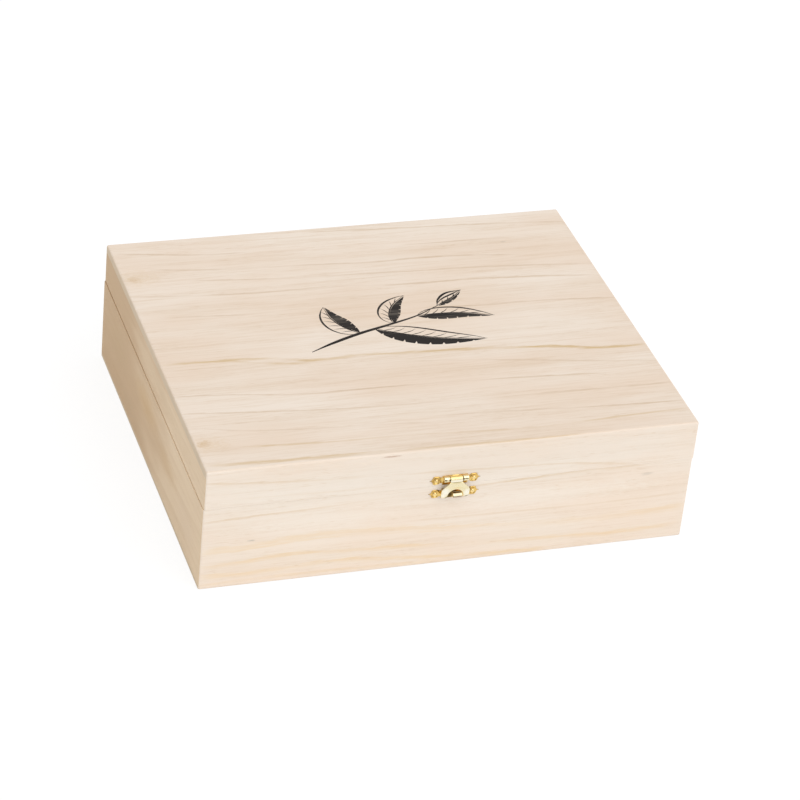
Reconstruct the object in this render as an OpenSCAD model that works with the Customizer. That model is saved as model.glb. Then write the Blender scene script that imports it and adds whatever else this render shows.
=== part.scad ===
// Hinged wooden keepsake box for tea bags: a sawn-apart case with twelve compartments,
// two butt hinges on the back and a small swing latch on the front.
// Millimetres. The origin is the middle of the underside, +X runs to the right along the
// front, +Y to the back and +Z up.

/* [Case] */
// Width of the case, left to right
case_w = 280; // [230:1:340]
// Depth of the case, front to back
case_d = 236; // [190:1:290]
// Height of the closed case
case_h = 77; // [74:0.5:95]
// Height of the base's rim, where the lid parts from it
rim_z = 52.5; // [48:0.5:54]
// Thickness of the four side boards
wall = 7; // [6:0.5:9]
// Thickness of the lid's top panel
top_t = 4.5; // [3.5:0.5:6]
// Thickness of the bottom panel
bottom_t = 3; // [2:0.5:5]
// Rounding of the outside corners and of the panels' outer edges
edge_r = 1.2; // [0.6:0.1:2]
// Gap between the lid and the base's rim when the lid is shut
seam_gap = 0.3; // [0.2:0.05:0.5]
// How far the lid sits to the right of the base
lid_shift = 0.5; // [0:0.1:0.8]

/* [Dividers] */
// Compartments from left to right
columns = 4; // [2:1:6]
// Compartments from front to back
rows = 3; // [2:1:4]
// Thickness of a divider
divider_t = 2.5; // [2:0.1:4]
// How far the dividers' top edges lie below the rim
divider_drop = 4; // [1:0.5:12]
// Depth of the grooves in the side boards that hold the dividers' ends
groove_depth = 2; // [1:0.25:3]
// Clearance on each side of a divider in its grooves and slots
divider_fit = 0.15; // [0.05:0.05:0.3]

/* [Hinges] */
// Distance from the case's end to the middle of each hinge
hinge_inset = 55; // [30:1:80]
// Length of a hinge along its pin
hinge_l = 22; // [18:0.5:28]
// Height of a leaf, from the pin's axis to its far edge
leaf_h = 10; // [8:0.5:13]
// Thickness of a leaf
leaf_t = 0.8; // [0.6:0.1:1.2]
// Outside radius of a hinge's knuckles
knuckle_r = 1.7; // [1.5:0.1:2.2]
// Number of knuckles on a hinge, always odd
knuckles = 5; // [3:2:7]
// Gap beside a knuckle, along the pin and to the other leaf
knuckle_gap = 0.2; // [0.15:0.05:0.4]
// Radius of a hinge's pin
pin_r = 0.8; // [0.6:0.05:0.9]
// Radial clearance between a pin and the knuckle that turns on it
pin_fit = 0.05; // [0.02:0.01:0.08]

/* [Screws and nails] */
// Radius of a hinge screw's shank
screw_r = 0.9; // [0.7:0.05:1.1]
// Radius of a hinge screw's head
screw_head_r = 1.8; // [1.5:0.1:2]
// Length of a hinge screw's shank inside the wood
screw_l = 5; // [3:0.5:5.5]
// Radius of a latch nail's shank
nail_r = 0.5; // [0.4:0.05:0.7]
// Radius of a latch nail's domed head
nail_head_r = 1.15; // [0.9:0.05:1.4]
// Length of a latch nail's shank inside the wood
nail_l = 5; // [3:0.5:5.5]
// Clearance round a screw or nail in its hole
fastener_fit = 0.02; // [0.01:0.01:0.05]

/* [Latch] */
// How far the latch sits to the right of the middle of the front
latch_x = 0.4; // [-5:0.1:5]
// Length of each latch plate from tip to tip
plate_l = 29.6; // [28:0.2:34]
// Height of each latch plate at its middle
plate_h = 6.2; // [5.6:0.1:7]
// Thickness of the latch plates
plate_t = 0.5; // [0.4:0.05:0.8]
// Distance from the latch's middle to each nail
nail_x = 10.7; // [10:0.1:12]
// Height of the upper plate's lower edge above the lid's lower edge
plate_lift = 0.3; // [0.1:0.1:0.8]
// Height of the catch plate's middle below the rim
catch_drop = 5; // [4.6:0.1:6]
// Outside radius of the latch's knuckles
barrel_r = 1.7; // [1.5:0.05:1.8]
// Length of the latch's knuckles together
barrel_l = 14; // [12:0.2:16]
// Radius of the latch's pin
latch_pin_r = 0.6; // [0.5:0.05:0.7]
// Width of the hasp's neck and of its knuckle
neck_w = 7; // [5.5:0.1:8]
// Width of the hasp across its feet
hasp_w = 16.2; // [15:0.2:18]
// Length of the hasp from the pin's axis to its feet
hasp_l = 11.7; // [11:0.1:13]
// Thickness of the hasp
hasp_t = 0.6; // [0.4:0.05:0.8]
// Width of the hasp's arch where its legs begin
arch_w = 8.4; // [8:0.1:9]
// Height of the hasp's arch above its feet
arch_h = 5.6; // [5:0.1:6]
// Clearance between the catch's nose and each of the legs that straddle it
nose_fit = 0.7; // [0.4:0.05:1.4]
// Clearance between the nose's top and the top of the arch over it
nose_head = 2.2; // [1.8:0.1:2.6]
// How far the nose stands out from the front
nose_out = 5; // [4.6:0.1:5.5]
// Thickness of the nose's metal
nose_t = 0.7; // [0.5:0.05:0.9]

/* [Hidden] */
$fn = 48;

// Overcut that keeps a cut's end off the face that it opens through
cut = 1;

// Case
lid_z = rim_z + seam_gap;
top_z = case_h - top_t;
inner_w = case_w - 2 * wall;
inner_d = case_d - 2 * wall;

// Dividers
divider_h = rim_z - divider_drop - bottom_t;
groove_w = divider_t + 2 * divider_fit;
column_pitch = (inner_w + divider_t) / columns;
row_pitch = (inner_d + divider_t) / rows;

// Hinges: the pin's axis lies behind the back, level with the middle of the seam
hinge_x = case_w / 2 - hinge_inset;
knuckle_stand = 0.1;
pin_y = knuckle_r + knuckle_stand;
pin_z = rim_z + seam_gap / 2;
knuckle_pitch = (hinge_l + knuckle_gap) / knuckles;
knuckle_l = knuckle_pitch - knuckle_gap;
screw_margin = 2;
leaf_screw_x = hinge_l / 2 - screw_head_r - screw_margin;
leaf_screw_z = (leaf_h + knuckle_r + knuckle_gap) / 2;
screw_slot_w = 0.45;
screw_dome = 0.25;

// Latch: heights are taken from the seam, distances out from the front
plate_z = lid_z + plate_lift + plate_h / 2;
catch_z = rim_z - catch_drop;
barrel_z = plate_z + plate_h / 2 - barrel_r;
barrel_sink = 0.3;
barrel_out = plate_t + barrel_r - barrel_sink;
hasp_back = barrel_out + barrel_r - hasp_t;
feet_z = barrel_z - hasp_l;
shoulder_w = barrel_l + 2 * knuckle_gap;
notch_w = neck_w + 2 * knuckle_gap;
nose_w = arch_w - 2 * nose_fit;
nose_bend_r = 3;
nose_z = feet_z + arch_h - nose_head - nose_bend_r;
neck_h = 0.3;
flare_top = barrel_z - barrel_r - neck_h;
flare_h = 5.6;
flare_steps = 12;
foot_splay = 0.8;
foot_r = 1.2;
arch_rise = 2.7;
arch_spring = feet_z + arch_h - arch_rise;
nail_dome = 0.7;
ear_r = 2.2;
lobe_r = 1.2;
lobe_x = nail_x + 0.4;
lobe_rise = 1.7;
waist_h = 3;
spike_h = 2;

// ---- Helpers -----------------------------------------------------------------------------

// Rectangle w by d about the origin with corners of radius r
module rounded_rectangle(w, d, r) {
    square([w - 2 * r, d], center = true);
    square([w, d - 2 * r], center = true);
    for (x = [-1, 1], y = [-1, 1])
        translate([x * (w / 2 - r), y * (d / 2 - r)]) circle(r);
}

// Profile w wide that stands on y = 0 and is h high, with its two upper corners rounded
module eased_profile(w, h, r) {
    translate([-w / 2, 0]) square([w, h - r]);
    translate([-w / 2 + r, 0]) square([w - 2 * r, h]);
    for (x = [-1, 1]) translate([x * (w / 2 - r), h - r]) circle(r);
}

// Stands a flat (x, z) outline up and gives it a thickness t along +Y
module upright(t) translate([0, t, 0]) rotate([90, 0, 0]) linear_extrude(t) children();

// Runs a (y, z) section along X for a length l, centred
module along_x(l) translate([-l / 2, 0, 0]) rotate([90, 0, 90]) linear_extrude(l) children();

// Panel of thickness t that covers the whole case, with its four upper edges eased
module eased_panel(t) {
    intersection() {
        linear_extrude(t) rounded_rectangle(case_w, case_d, edge_r);
        along_x(case_w) eased_profile(case_d, t, edge_r);
        translate([0, -case_d / 2, 0]) upright(case_d) eased_profile(case_w, t, edge_r);
    }
}

// Upright prism of the case's outline, from z0 to z1
module case_outline(z0, z1)
    translate([0, 0, z0]) linear_extrude(z1 - z0) rounded_rectangle(case_w, case_d, edge_r);

// Board along X at the back of the case, mitred at both ends, from z0 to z1
module long_board(z0, z1) {
    x = case_w / 2;
    y = case_d / 2;
    intersection() {
        case_outline(z0, z1);
        translate([0, 0, z0]) linear_extrude(z1 - z0)
            polygon([[-x, y], [x, y], [x - wall, y - wall], [-x + wall, y - wall]]);
    }
}

// Board along Y at the right of the case, mitred at both ends, from z0 to z1
module short_board(z0, z1) {
    x = case_w / 2;
    y = case_d / 2;
    intersection() {
        case_outline(z0, z1);
        translate([0, 0, z0]) linear_extrude(z1 - z0)
            polygon([[x, -y], [x, y], [x - wall, y - wall], [x - wall, -y + wall]]);
    }
}

// Middle of divider number i, counted from the left or from the front
function column_x(i) = -(inner_w + divider_t) / 2 + i * column_pitch;
function row_y(i) = -(inner_d + divider_t) / 2 + i * row_pitch;

// Grooves for the cross dividers in the inner face at the back
module column_grooves()
    for (i = [1:columns - 1])
        translate([column_x(i) - groove_w / 2, inner_d / 2 - cut, bottom_t - cut])
            cube([groove_w, groove_depth + cut, rim_z - bottom_t + 2 * cut]);

// Grooves for the long dividers in the inner face at the right
module row_grooves()
    for (i = [1:rows - 1])
        translate([inner_w / 2 - cut, row_y(i) - groove_w / 2, bottom_t - cut])
            cube([groove_depth + cut, groove_w, rim_z - bottom_t + 2 * cut]);

// ---- Places ------------------------------------------------------------------------------

// Puts a piece on the back, with y out of the back and z up from the pin's axis
module at_hinge(side) translate([side * hinge_x, case_d / 2, pin_z]) children();

// Puts a piece on the front, with y out of the front
module at_latch() translate([latch_x, -case_d / 2, 0]) mirror([0, 1, 0]) children();

// Places of a leaf's two screws, below the pin's axis
module leaf_screw_places()
    for (x = [-1, 1]) translate([x * leaf_screw_x, 0, -leaf_screw_z]) children();

// Places of a latch plate's two nails
module nail_places(z) for (x = [-1, 1]) translate([x * nail_x, 0, z]) children();

// Lies along Y what was made along Z, so that +Z points out of the face
module facing_out() rotate([-90, 0, 0]) children();

// ---- Fasteners ---------------------------------------------------------------------------

// Domed countersunk screw whose shank runs into the wood from y = 0
module hinge_screw() {
    facing_out() difference() {
        union() {
            translate([0, 0, -screw_l]) cylinder(r = screw_r, h = screw_l);
            cylinder(r1 = screw_r, r2 = screw_head_r, h = leaf_t);
            intersection() {
                dome_r = (pow(screw_head_r, 2) + pow(screw_dome, 2)) / (2 * screw_dome);
                translate([0, 0, leaf_t + screw_dome - dome_r]) sphere(dome_r);
                translate([0, 0, leaf_t]) cylinder(r = screw_head_r, h = screw_dome);
            }
        }
        translate([-screw_head_r - cut, -screw_slot_w / 2, leaf_t - screw_dome])
            cube([2 * (screw_head_r + cut), screw_slot_w, cut]);
    }
}

// Hole that a hinge screw leaves in a leaf and in the wood behind it
module hinge_screw_hole() {
    facing_out() {
        translate([0, 0, -screw_l - fastener_fit])
            cylinder(r = screw_r + fastener_fit, h = screw_l + fastener_fit + cut);
        cylinder(r1 = screw_r + fastener_fit, r2 = screw_head_r + fastener_fit, h = leaf_t);
    }
}

// Round-headed nail whose shank runs into the wood from y = 0
module latch_nail() {
    dome_r = (pow(nail_head_r, 2) + pow(nail_dome, 2)) / (2 * nail_dome);
    facing_out() {
        translate([0, 0, -nail_l]) cylinder(r = nail_r, h = nail_l + plate_t);
        intersection() {
            translate([0, 0, plate_t + nail_dome - dome_r]) sphere(dome_r);
            translate([0, 0, plate_t]) cylinder(r = nail_head_r, h = nail_dome);
        }
    }
}

// Hole that a latch nail leaves in a plate and in the wood behind it
module latch_nail_hole()
    facing_out() translate([0, 0, -nail_l - fastener_fit])
        cylinder(r = nail_r + fastener_fit, h = nail_l + fastener_fit + plate_t + cut);

// ---- Base --------------------------------------------------------------------------------

module base_front()
    color("wheat") difference() {
        mirror([0, 1, 0]) difference() {
            long_board(bottom_t, rim_z);
            column_grooves();
        }
        at_latch() nail_places(catch_z) latch_nail_hole();
    }

module base_back()
    color("wheat") difference() {
        long_board(bottom_t, rim_z);
        column_grooves();
        for (side = [-1, 1]) at_hinge(side) leaf_screw_places() hinge_screw_hole();
    }

module base_right()
    color("tan") difference() {
        short_board(bottom_t, rim_z);
        row_grooves();
    }

module base_left() mirror([1, 0, 0]) base_right();

module bottom_panel()
    color("burlywood") translate([0, 0, bottom_t]) mirror([0, 0, 1]) eased_panel(bottom_t);

// ---- Dividers ----------------------------------------------------------------------------

// Strip from left to right, slotted from above for the cross dividers
module long_divider(i) {
    l = inner_w + 2 * (groove_depth - divider_fit);
    color("bisque") difference() {
        translate([-l / 2, row_y(i) - divider_t / 2, bottom_t]) cube([l, divider_t, divider_h]);
        for (c = [1:columns - 1])
            translate([column_x(c) - groove_w / 2, row_y(i) - divider_t, bottom_t + divider_h / 2])
                cube([groove_w, 2 * divider_t, divider_h]);
    }
}

// Strip from front to back, slotted from below for the long dividers
module cross_divider(i) {
    l = inner_d + 2 * (groove_depth - divider_fit);
    color("bisque") difference() {
        translate([column_x(i) - divider_t / 2, -l / 2, bottom_t]) cube([divider_t, l, divider_h]);
        for (r = [1:rows - 1])
            translate([column_x(i) - divider_t, row_y(r) - groove_w / 2, bottom_t - cut])
                cube([2 * divider_t, groove_w, divider_h / 2 + divider_fit + cut]);
    }
}

// ---- Lid ---------------------------------------------------------------------------------

module lid_front()
    color("wheat") difference() {
        translate([lid_shift, 0, 0]) mirror([0, 1, 0]) long_board(lid_z, top_z);
        at_latch() nail_places(plate_z) latch_nail_hole();
    }

module lid_back()
    color("wheat") difference() {
        translate([lid_shift, 0, 0]) long_board(lid_z, top_z);
        for (side = [-1, 1])
            at_hinge(side) mirror([0, 0, 1]) leaf_screw_places() hinge_screw_hole();
    }

module lid_right() color("tan") translate([lid_shift, 0, 0]) short_board(lid_z, top_z);

module lid_left()
    color("tan") translate([lid_shift, 0, 0]) mirror([1, 0, 0]) short_board(lid_z, top_z);

module lid_top_panel()
    color("blanchedalmond") translate([lid_shift, 0, top_z]) eased_panel(top_t);

// ---- Hinges ------------------------------------------------------------------------------

// One leaf below the pin's axis, with its knuckles at every second place from first;
// hole_r is the radius of the hole through its knuckles
module hinge_leaf(first, hole_r) {
    plate_top = -knuckle_r - knuckle_gap;
    difference() {
        union() {
            translate([-hinge_l / 2, 0, -leaf_h]) cube([hinge_l, leaf_t, leaf_h + plate_top]);
            for (k = [first:2:knuckles - 1])
                translate([-hinge_l / 2 + k * knuckle_pitch, 0, 0]) {
                    translate([0, 0, plate_top - cut]) cube([knuckle_l, leaf_t, cut - plate_top]);
                    translate([0, pin_y, 0]) rotate([0, 90, 0])
                        cylinder(r = knuckle_r, h = knuckle_l);
                }
        }
        translate([-hinge_l / 2 - cut, pin_y, 0]) rotate([0, 90, 0])
            cylinder(r = hole_r, h = hinge_l + 2 * cut);
        leaf_screw_places() hinge_screw_hole();
    }
}

module hinge_base_leaf(side)
    color("gold") at_hinge(side) hinge_leaf(0, pin_r + fastener_fit);

module hinge_lid_leaf(side)
    color("gold") at_hinge(side) mirror([0, 0, 1]) hinge_leaf(1, pin_r + pin_fit);

module hinge_pin(side)
    color("goldenrod") at_hinge(side) translate([-hinge_l / 2, pin_y, 0]) rotate([0, 90, 0])
        cylinder(r = pin_r, h = hinge_l);

module hinge_base_screws()
    color("goldenrod") for (side = [-1, 1]) at_hinge(side) leaf_screw_places() hinge_screw();

module hinge_lid_screws()
    color("goldenrod") for (side = [-1, 1])
        at_hinge(side) mirror([0, 0, 1]) leaf_screw_places() hinge_screw();

// ---- Latch -------------------------------------------------------------------------------

// Ornamental outline of a latch plate about its own middle: a body with a lobed ear and
// a small spike at each end
module plate_outline() {
    square([shoulder_w, plate_h], center = true);
    for (side = [-1, 1]) {
        translate([side * nail_x, 0]) circle(ear_r);
        for (v = [-1, 1]) translate([side * lobe_x, v * lobe_rise]) circle(lobe_r);
        polygon([
            [side * shoulder_w / 4, -waist_h / 2], [side * shoulder_w / 4, waist_h / 2],
            [side * nail_x, spike_h / 2], [side * plate_l / 2, 0], [side * nail_x, -spike_h / 2]
        ]);
    }
}

// Section (out, up) of the catch's nose: out of the plate's upper edge, then over and down
module nose_section() {
    bend_out = nose_out - nose_bend_r;
    tip_r = nose_t / 2;
    translate([bend_out, 0]) {
        intersection() {
            difference() {
                circle(nose_bend_r);
                circle(nose_bend_r - nose_t);
            }
            square(2 * nose_bend_r);
        }
        translate([nose_bend_r - tip_r, 0]) circle(tip_r);
    }
    translate([0, nose_bend_r - nose_t]) square([bend_out, nose_t]);
}

// Half width of the hasp at a share t of its flare, from the neck (0) to the feet (1)
function flare_x(t) = neck_w / 2 + (hasp_w - neck_w) / 2 * (1 - cos(180 * t)) / 2;

// Outline (x, z) of the hasp: a neck that flares like a bell into two feet round an arch
module hasp_outline() {
    flare = [for (i = [0:flare_steps])
        [flare_x(i / flare_steps), flare_top - flare_h * i / flare_steps]];
    foot = [for (a = [0:15:90])
        [hasp_w / 2 - foot_r + foot_r * cos(a), feet_z + foot_r - foot_r * sin(a)]];
    half = concat([[neck_w / 2, barrel_z]], flare, foot);
    arch_r = (pow(arch_w / 2, 2) + pow(arch_rise, 2)) / (2 * arch_rise);
    leg_h = arch_spring - feet_z;
    leg_splay = foot_splay * (1 + cut / leg_h);
    difference() {
        union() {
            polygon(concat([[0, barrel_z]], half, [[0, feet_z]]));
            mirror([1, 0]) polygon(concat([[0, barrel_z]], half, [[0, feet_z]]));
        }
        translate([0, feet_z + arch_h - arch_r]) circle(arch_r);
        polygon([
            [-arch_w / 2, arch_spring], [arch_w / 2, arch_spring],
            [arch_w / 2 + leg_splay, feet_z - cut], [-arch_w / 2 - leg_splay, feet_z - cut]
        ]);
    }
}

// Tube round the latch pin's axis from x0 to x1
module latch_knuckle(x0, x1, hole_r)
    translate([x0, barrel_out, barrel_z]) rotate([0, 90, 0]) difference() {
        cylinder(r = barrel_r, h = x1 - x0);
        translate([0, 0, -cut]) cylinder(r = hole_r, h = x1 - x0 + 2 * cut);
    }

module latch_catch()
    color("gold") at_latch() difference() {
        union() {
            translate([0, 0, catch_z]) upright(plate_t) plate_outline();
            translate([0, 0, nose_z]) along_x(nose_w) nose_section();
        }
        nail_places(catch_z) latch_nail_hole();
    }

module latch_plate()
    color("gold") at_latch() {
        difference() {
            translate([0, 0, plate_z]) upright(plate_t) plate_outline();
            translate([-notch_w / 2, -cut, barrel_z - barrel_r - knuckle_gap])
                cube([notch_w, plate_t + 2 * cut, plate_h]);
            nail_places(plate_z) latch_nail_hole();
        }
        latch_knuckle(-barrel_l / 2, -notch_w / 2, latch_pin_r + fastener_fit);
        latch_knuckle(notch_w / 2, barrel_l / 2, latch_pin_r + fastener_fit);
    }

module latch_pin()
    color("goldenrod") at_latch() translate([-barrel_l / 2, barrel_out, barrel_z])
        rotate([0, 90, 0]) cylinder(r = latch_pin_r, h = barrel_l);

module latch_hasp()
    color("khaki") at_latch() {
        difference() {
            translate([0, hasp_back, 0]) upright(hasp_t) hasp_outline();
            translate([-neck_w, barrel_out, barrel_z]) rotate([0, 90, 0])
                cylinder(r = barrel_r - hasp_t, h = 2 * neck_w);
        }
        latch_knuckle(-neck_w / 2, neck_w / 2, latch_pin_r + pin_fit);
    }

module catch_nails() color("goldenrod") at_latch() nail_places(catch_z) latch_nail();

module latch_nails() color("goldenrod") at_latch() nail_places(plate_z) latch_nail();

// ---- Nodes -------------------------------------------------------------------------------

base_front();
base_back();
base_left();
base_right();
bottom_panel();
for (i = [1:rows - 1])
    long_divider(i);
for (i = [1:columns - 1])
    cross_divider(i);
lid_front();
lid_back();
lid_left();
lid_right();
lid_top_panel();
hinge_base_leaf(-1);  // hinge_base_leaf_left
hinge_base_leaf(1);  // hinge_base_leaf_right
hinge_lid_leaf(-1);  // hinge_lid_leaf_left
hinge_lid_leaf(1);  // hinge_lid_leaf_right
hinge_pin(-1);  // hinge_pin_left
hinge_pin(1);  // hinge_pin_right
hinge_base_screws();
hinge_lid_screws();
latch_catch();
catch_nails();
latch_plate();
latch_nails();
latch_pin();
latch_hasp();
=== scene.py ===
"""Looks of the hinged wooden tea bag box: boards, divider grid, hinges, latch and printed sprig."""

import logging
import math
from collections.abc import Callable, Iterable, Sequence
from dataclasses import dataclass
from enum import Enum
from functools import partial, reduce

import bmesh
import bpy
from mathutils import Matrix, Vector


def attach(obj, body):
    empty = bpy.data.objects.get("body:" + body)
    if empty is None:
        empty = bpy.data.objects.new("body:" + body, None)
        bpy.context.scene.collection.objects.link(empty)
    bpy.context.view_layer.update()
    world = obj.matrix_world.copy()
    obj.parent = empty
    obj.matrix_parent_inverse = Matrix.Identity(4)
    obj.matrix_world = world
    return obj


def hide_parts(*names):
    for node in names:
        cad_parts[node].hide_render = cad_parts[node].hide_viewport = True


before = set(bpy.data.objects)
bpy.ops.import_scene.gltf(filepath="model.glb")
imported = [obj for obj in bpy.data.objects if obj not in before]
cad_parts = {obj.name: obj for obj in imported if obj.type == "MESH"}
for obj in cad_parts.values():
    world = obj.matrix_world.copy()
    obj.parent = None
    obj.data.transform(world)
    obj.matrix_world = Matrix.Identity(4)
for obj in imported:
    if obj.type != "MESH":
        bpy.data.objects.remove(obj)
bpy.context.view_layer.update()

LOG = logging.getLogger("tea_bag_box")
MM = 0.001
Point = tuple[float, float]
Place = tuple[float, float, float]
Colour = tuple[float, float, float]
Socket = bpy.types.NodeSocket
Source = Socket | float | tuple | None
Mesh = bpy.types.Mesh
Material = bpy.types.Material
Width = Callable[[float], float]
Width = Callable[[float], float]
Width = Callable[[float], float]
ORIGIN: Place = (0.0, 0.0, 0.0)


class Grain(Enum):
    """How the wood's fibres lie in a board: along, across its face, and into its depth."""

    TOP = ("X", "Y", "Z")
    LONG_WALL = ("X", "Z", "Y")
    SHORT_WALL = ("Y", "Z", "X")


class Body(str, Enum):
    """The bodies that pieces ride on."""

    BASE = "base"
    LID = "lid"
    HASP = "hasp"


class Slot(str, Enum):
    """The record's material slots."""

    CASE = "case_wood"
    DIVIDER = "divider_wood"
    LATCH = "latch_brass"
    HINGE = "hinge_brass"


# ---- Node trees ---------------------------------------------------------------------------


class Bench:
    """Adds nodes to one tree and wires them together."""

    def __init__(self, tree: bpy.types.NodeTree) -> None:
        """Keeps the tree that the nodes go into."""
        self.tree = tree

    def node(self, kind: str, **settings: object) -> bpy.types.Node:
        """Adds one node.

        Args:
            kind: Type name of the node.
            settings: Properties to set on it.

        Returns:
            The new node.
        """
        made = self.tree.nodes.new(kind)
        for key, value in settings.items():
            setattr(made, key, value)
        return made

    def feed(self, socket: Socket, source: Source) -> None:
        """Feeds one input.

        Args:
            socket: The input.
            source: A socket to link, a plain value to set, or None to leave the input as it is.
        """
        if isinstance(source, bpy.types.NodeSocket):
            self.tree.links.new(source, socket)
        elif source is not None:
            socket.default_value = source

    def filled(self, kind: str, sources: Iterable[Source], **settings: object) -> bpy.types.Node:
        """Adds one node and feeds its first inputs in order.

        Args:
            kind: Type name of the node.
            sources: What goes into its inputs, None for one left as it is.
            settings: Properties to set on it.

        Returns:
            The new node.
        """
        made = self.node(kind, **settings)
        for socket, source in zip(made.inputs, sources):
            self.feed(socket, source)
        return made

    def fitted(self, kind: str, sources: dict[str, Source], **settings: object) -> bpy.types.Node:
        """Adds one node and feeds its inputs by name.

        Args:
            kind: Type name of the node.
            sources: What goes into each named input.
            settings: Properties to set on it.

        Returns:
            The new node.
        """
        made = self.node(kind, **settings)
        for key, source in sources.items():
            self.feed(made.inputs[key], source)
        return made

    def math(self, operation: str, *terms: Source) -> Socket:
        """Puts terms through a Math node and returns its result."""
        return self.filled("ShaderNodeMath", terms, operation=operation).outputs[0]

    def total(self, *terms: Source) -> Socket:
        """Adds any number of terms."""
        return reduce(partial(self.math, "ADD"), terms)

    def product(self, *terms: Source) -> Socket:
        """Multiplies any number of terms."""
        return reduce(partial(self.math, "MULTIPLY"), terms)

    def gap(self, value: Source, other: Source) -> Socket:
        """How far a value lies above another."""
        return self.math("SUBTRACT", value, other)

    def centred(self, value: Source) -> Socket:
        """Moves the middle of a value between 0 and 1 to 0."""
        return self.gap(value, 0.5)

    def ramp(
        self, value: Source, low: Source, high: Source, first: Source = 0.0, last: Source = 1.0,
    ) -> Socket:
        """Eases from first to last while a value goes from low to high."""
        sources = (value, low, high, first, last)
        return self.filled("ShaderNodeMapRange", sources, interpolation_type="SMOOTHSTEP").outputs[0]

    def fall(self, value: Source, low: Source, high: Source) -> Socket:
        """Eases from 1 to 0 while a value goes from low to high."""
        return self.ramp(value, low, high, 1.0, 0.0)

    def split(self, vector: Socket) -> tuple[Socket, Socket, Socket]:
        """Takes a vector apart into X, Y and Z."""
        return tuple(self.filled("ShaderNodeSeparateXYZ", (vector,)).outputs)

    def vector(self, x: Source, y: Source, z: Source) -> Socket:
        """Puts a vector together from X, Y and Z."""
        return self.filled("ShaderNodeCombineXYZ", (x, y, z)).outputs[0]

    def noise(
        self, place: Socket, scale: Place | None = None, seed: Source = None,
        detail: float = 2.0, rough: float = 0.5,
    ) -> Socket:
        """Reads a soft noise at a place.

        Args:
            place: Where it is read.
            scale: Grains per metre on each axis, or None to take the place as it is.
            seed: Offset on all axes, for another pattern.
            detail: Number of finer layers.
            rough: Strength of the finer layers.

        Returns:
            The noise, between 0 and 1.
        """
        for operation, source in (("MULTIPLY", scale), ("ADD", seed)):
            if source is not None:
                place = self.filled("ShaderNodeVectorMath", (place, source), operation=operation).outputs[0]
        sources = {"Vector": place, "Scale": 1.0, "Detail": detail, "Roughness": rough}
        return self.fitted("ShaderNodeTexNoise", sources).outputs[0]

    def mix(self, share: Source, first: Source, second: Source) -> Socket:
        """Mixes two colours.

        Args:
            share: Share of the second.
            first: The first colour, as a socket or as red, green, blue.
            second: The second colour.

        Returns:
            The mixed colour.
        """
        made = self.node("ShaderNodeMix", data_type="RGBA")
        for place, source in ((0, share), (6, first), (7, second)):
            self.feed(made.inputs[place], (*source, 1.0) if isinstance(source, tuple) else source)
        return made.outputs[2]

    def curve(self, value: Source, points: Sequence[Point]) -> Socket:
        """Sends a value through a smooth curve.

        Args:
            value: The value, from 0 to 1.
            points: Points of the curve, from 0 to 1.

        Returns:
            The curve's height at the value.
        """
        made = self.filled("ShaderNodeFloatCurve", (1.0, value))
        line = made.mapping.curves[0]
        for end in (0, -1):
            line.points[end].location = points[end]
        for point in points[1:-1]:
            line.points.new(*point)
        made.mapping.update()
        return made.outputs[0]


class Effect:
    """A shader node group, built once and placed in each material with its own values."""

    KINDS = {float: "NodeSocketFloat", tuple: "NodeSocketVector"}

    def __init__(self, name: str, inputs: dict[str, object], outputs: Sequence[str], wire: Callable) -> None:
        """Builds the group.

        Args:
            name: Name of the group.
            inputs: Default of each named input; its type gives the socket's.
            outputs: Names of the outputs, all plain values.
            wire: Takes the group's bench and its input sockets by name, returns its outputs by name.
        """
        self.tree = bpy.data.node_groups.new(name, "ShaderNodeTree")
        for key, default in inputs.items():
            kind = self.KINDS[type(default)]
            made = self.tree.interface.new_socket(key, in_out="INPUT", socket_type=kind)
            made.default_value = default
        for key in outputs:
            self.tree.interface.new_socket(key, in_out="OUTPUT", socket_type=self.KINDS[float])
        bench = Bench(self.tree)
        entry = bench.node("NodeGroupInput")
        results = wire(bench, {key: entry.outputs[key] for key in inputs})
        bench.fitted("NodeGroupOutput", results)

    def place(self, bench: Bench, **sources: Source) -> dict[str, Socket]:
        """Places the group in a tree.

        Args:
            bench: Bench of the tree.
            sources: What goes into each named input.

        Returns:
            The group's output sockets by name.
        """
        made = bench.fitted("ShaderNodeGroup", sources, node_tree=self.tree)
        return {socket.name: socket for socket in made.outputs}


# ---- Effects that materials share ---------------------------------------------------------


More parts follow.
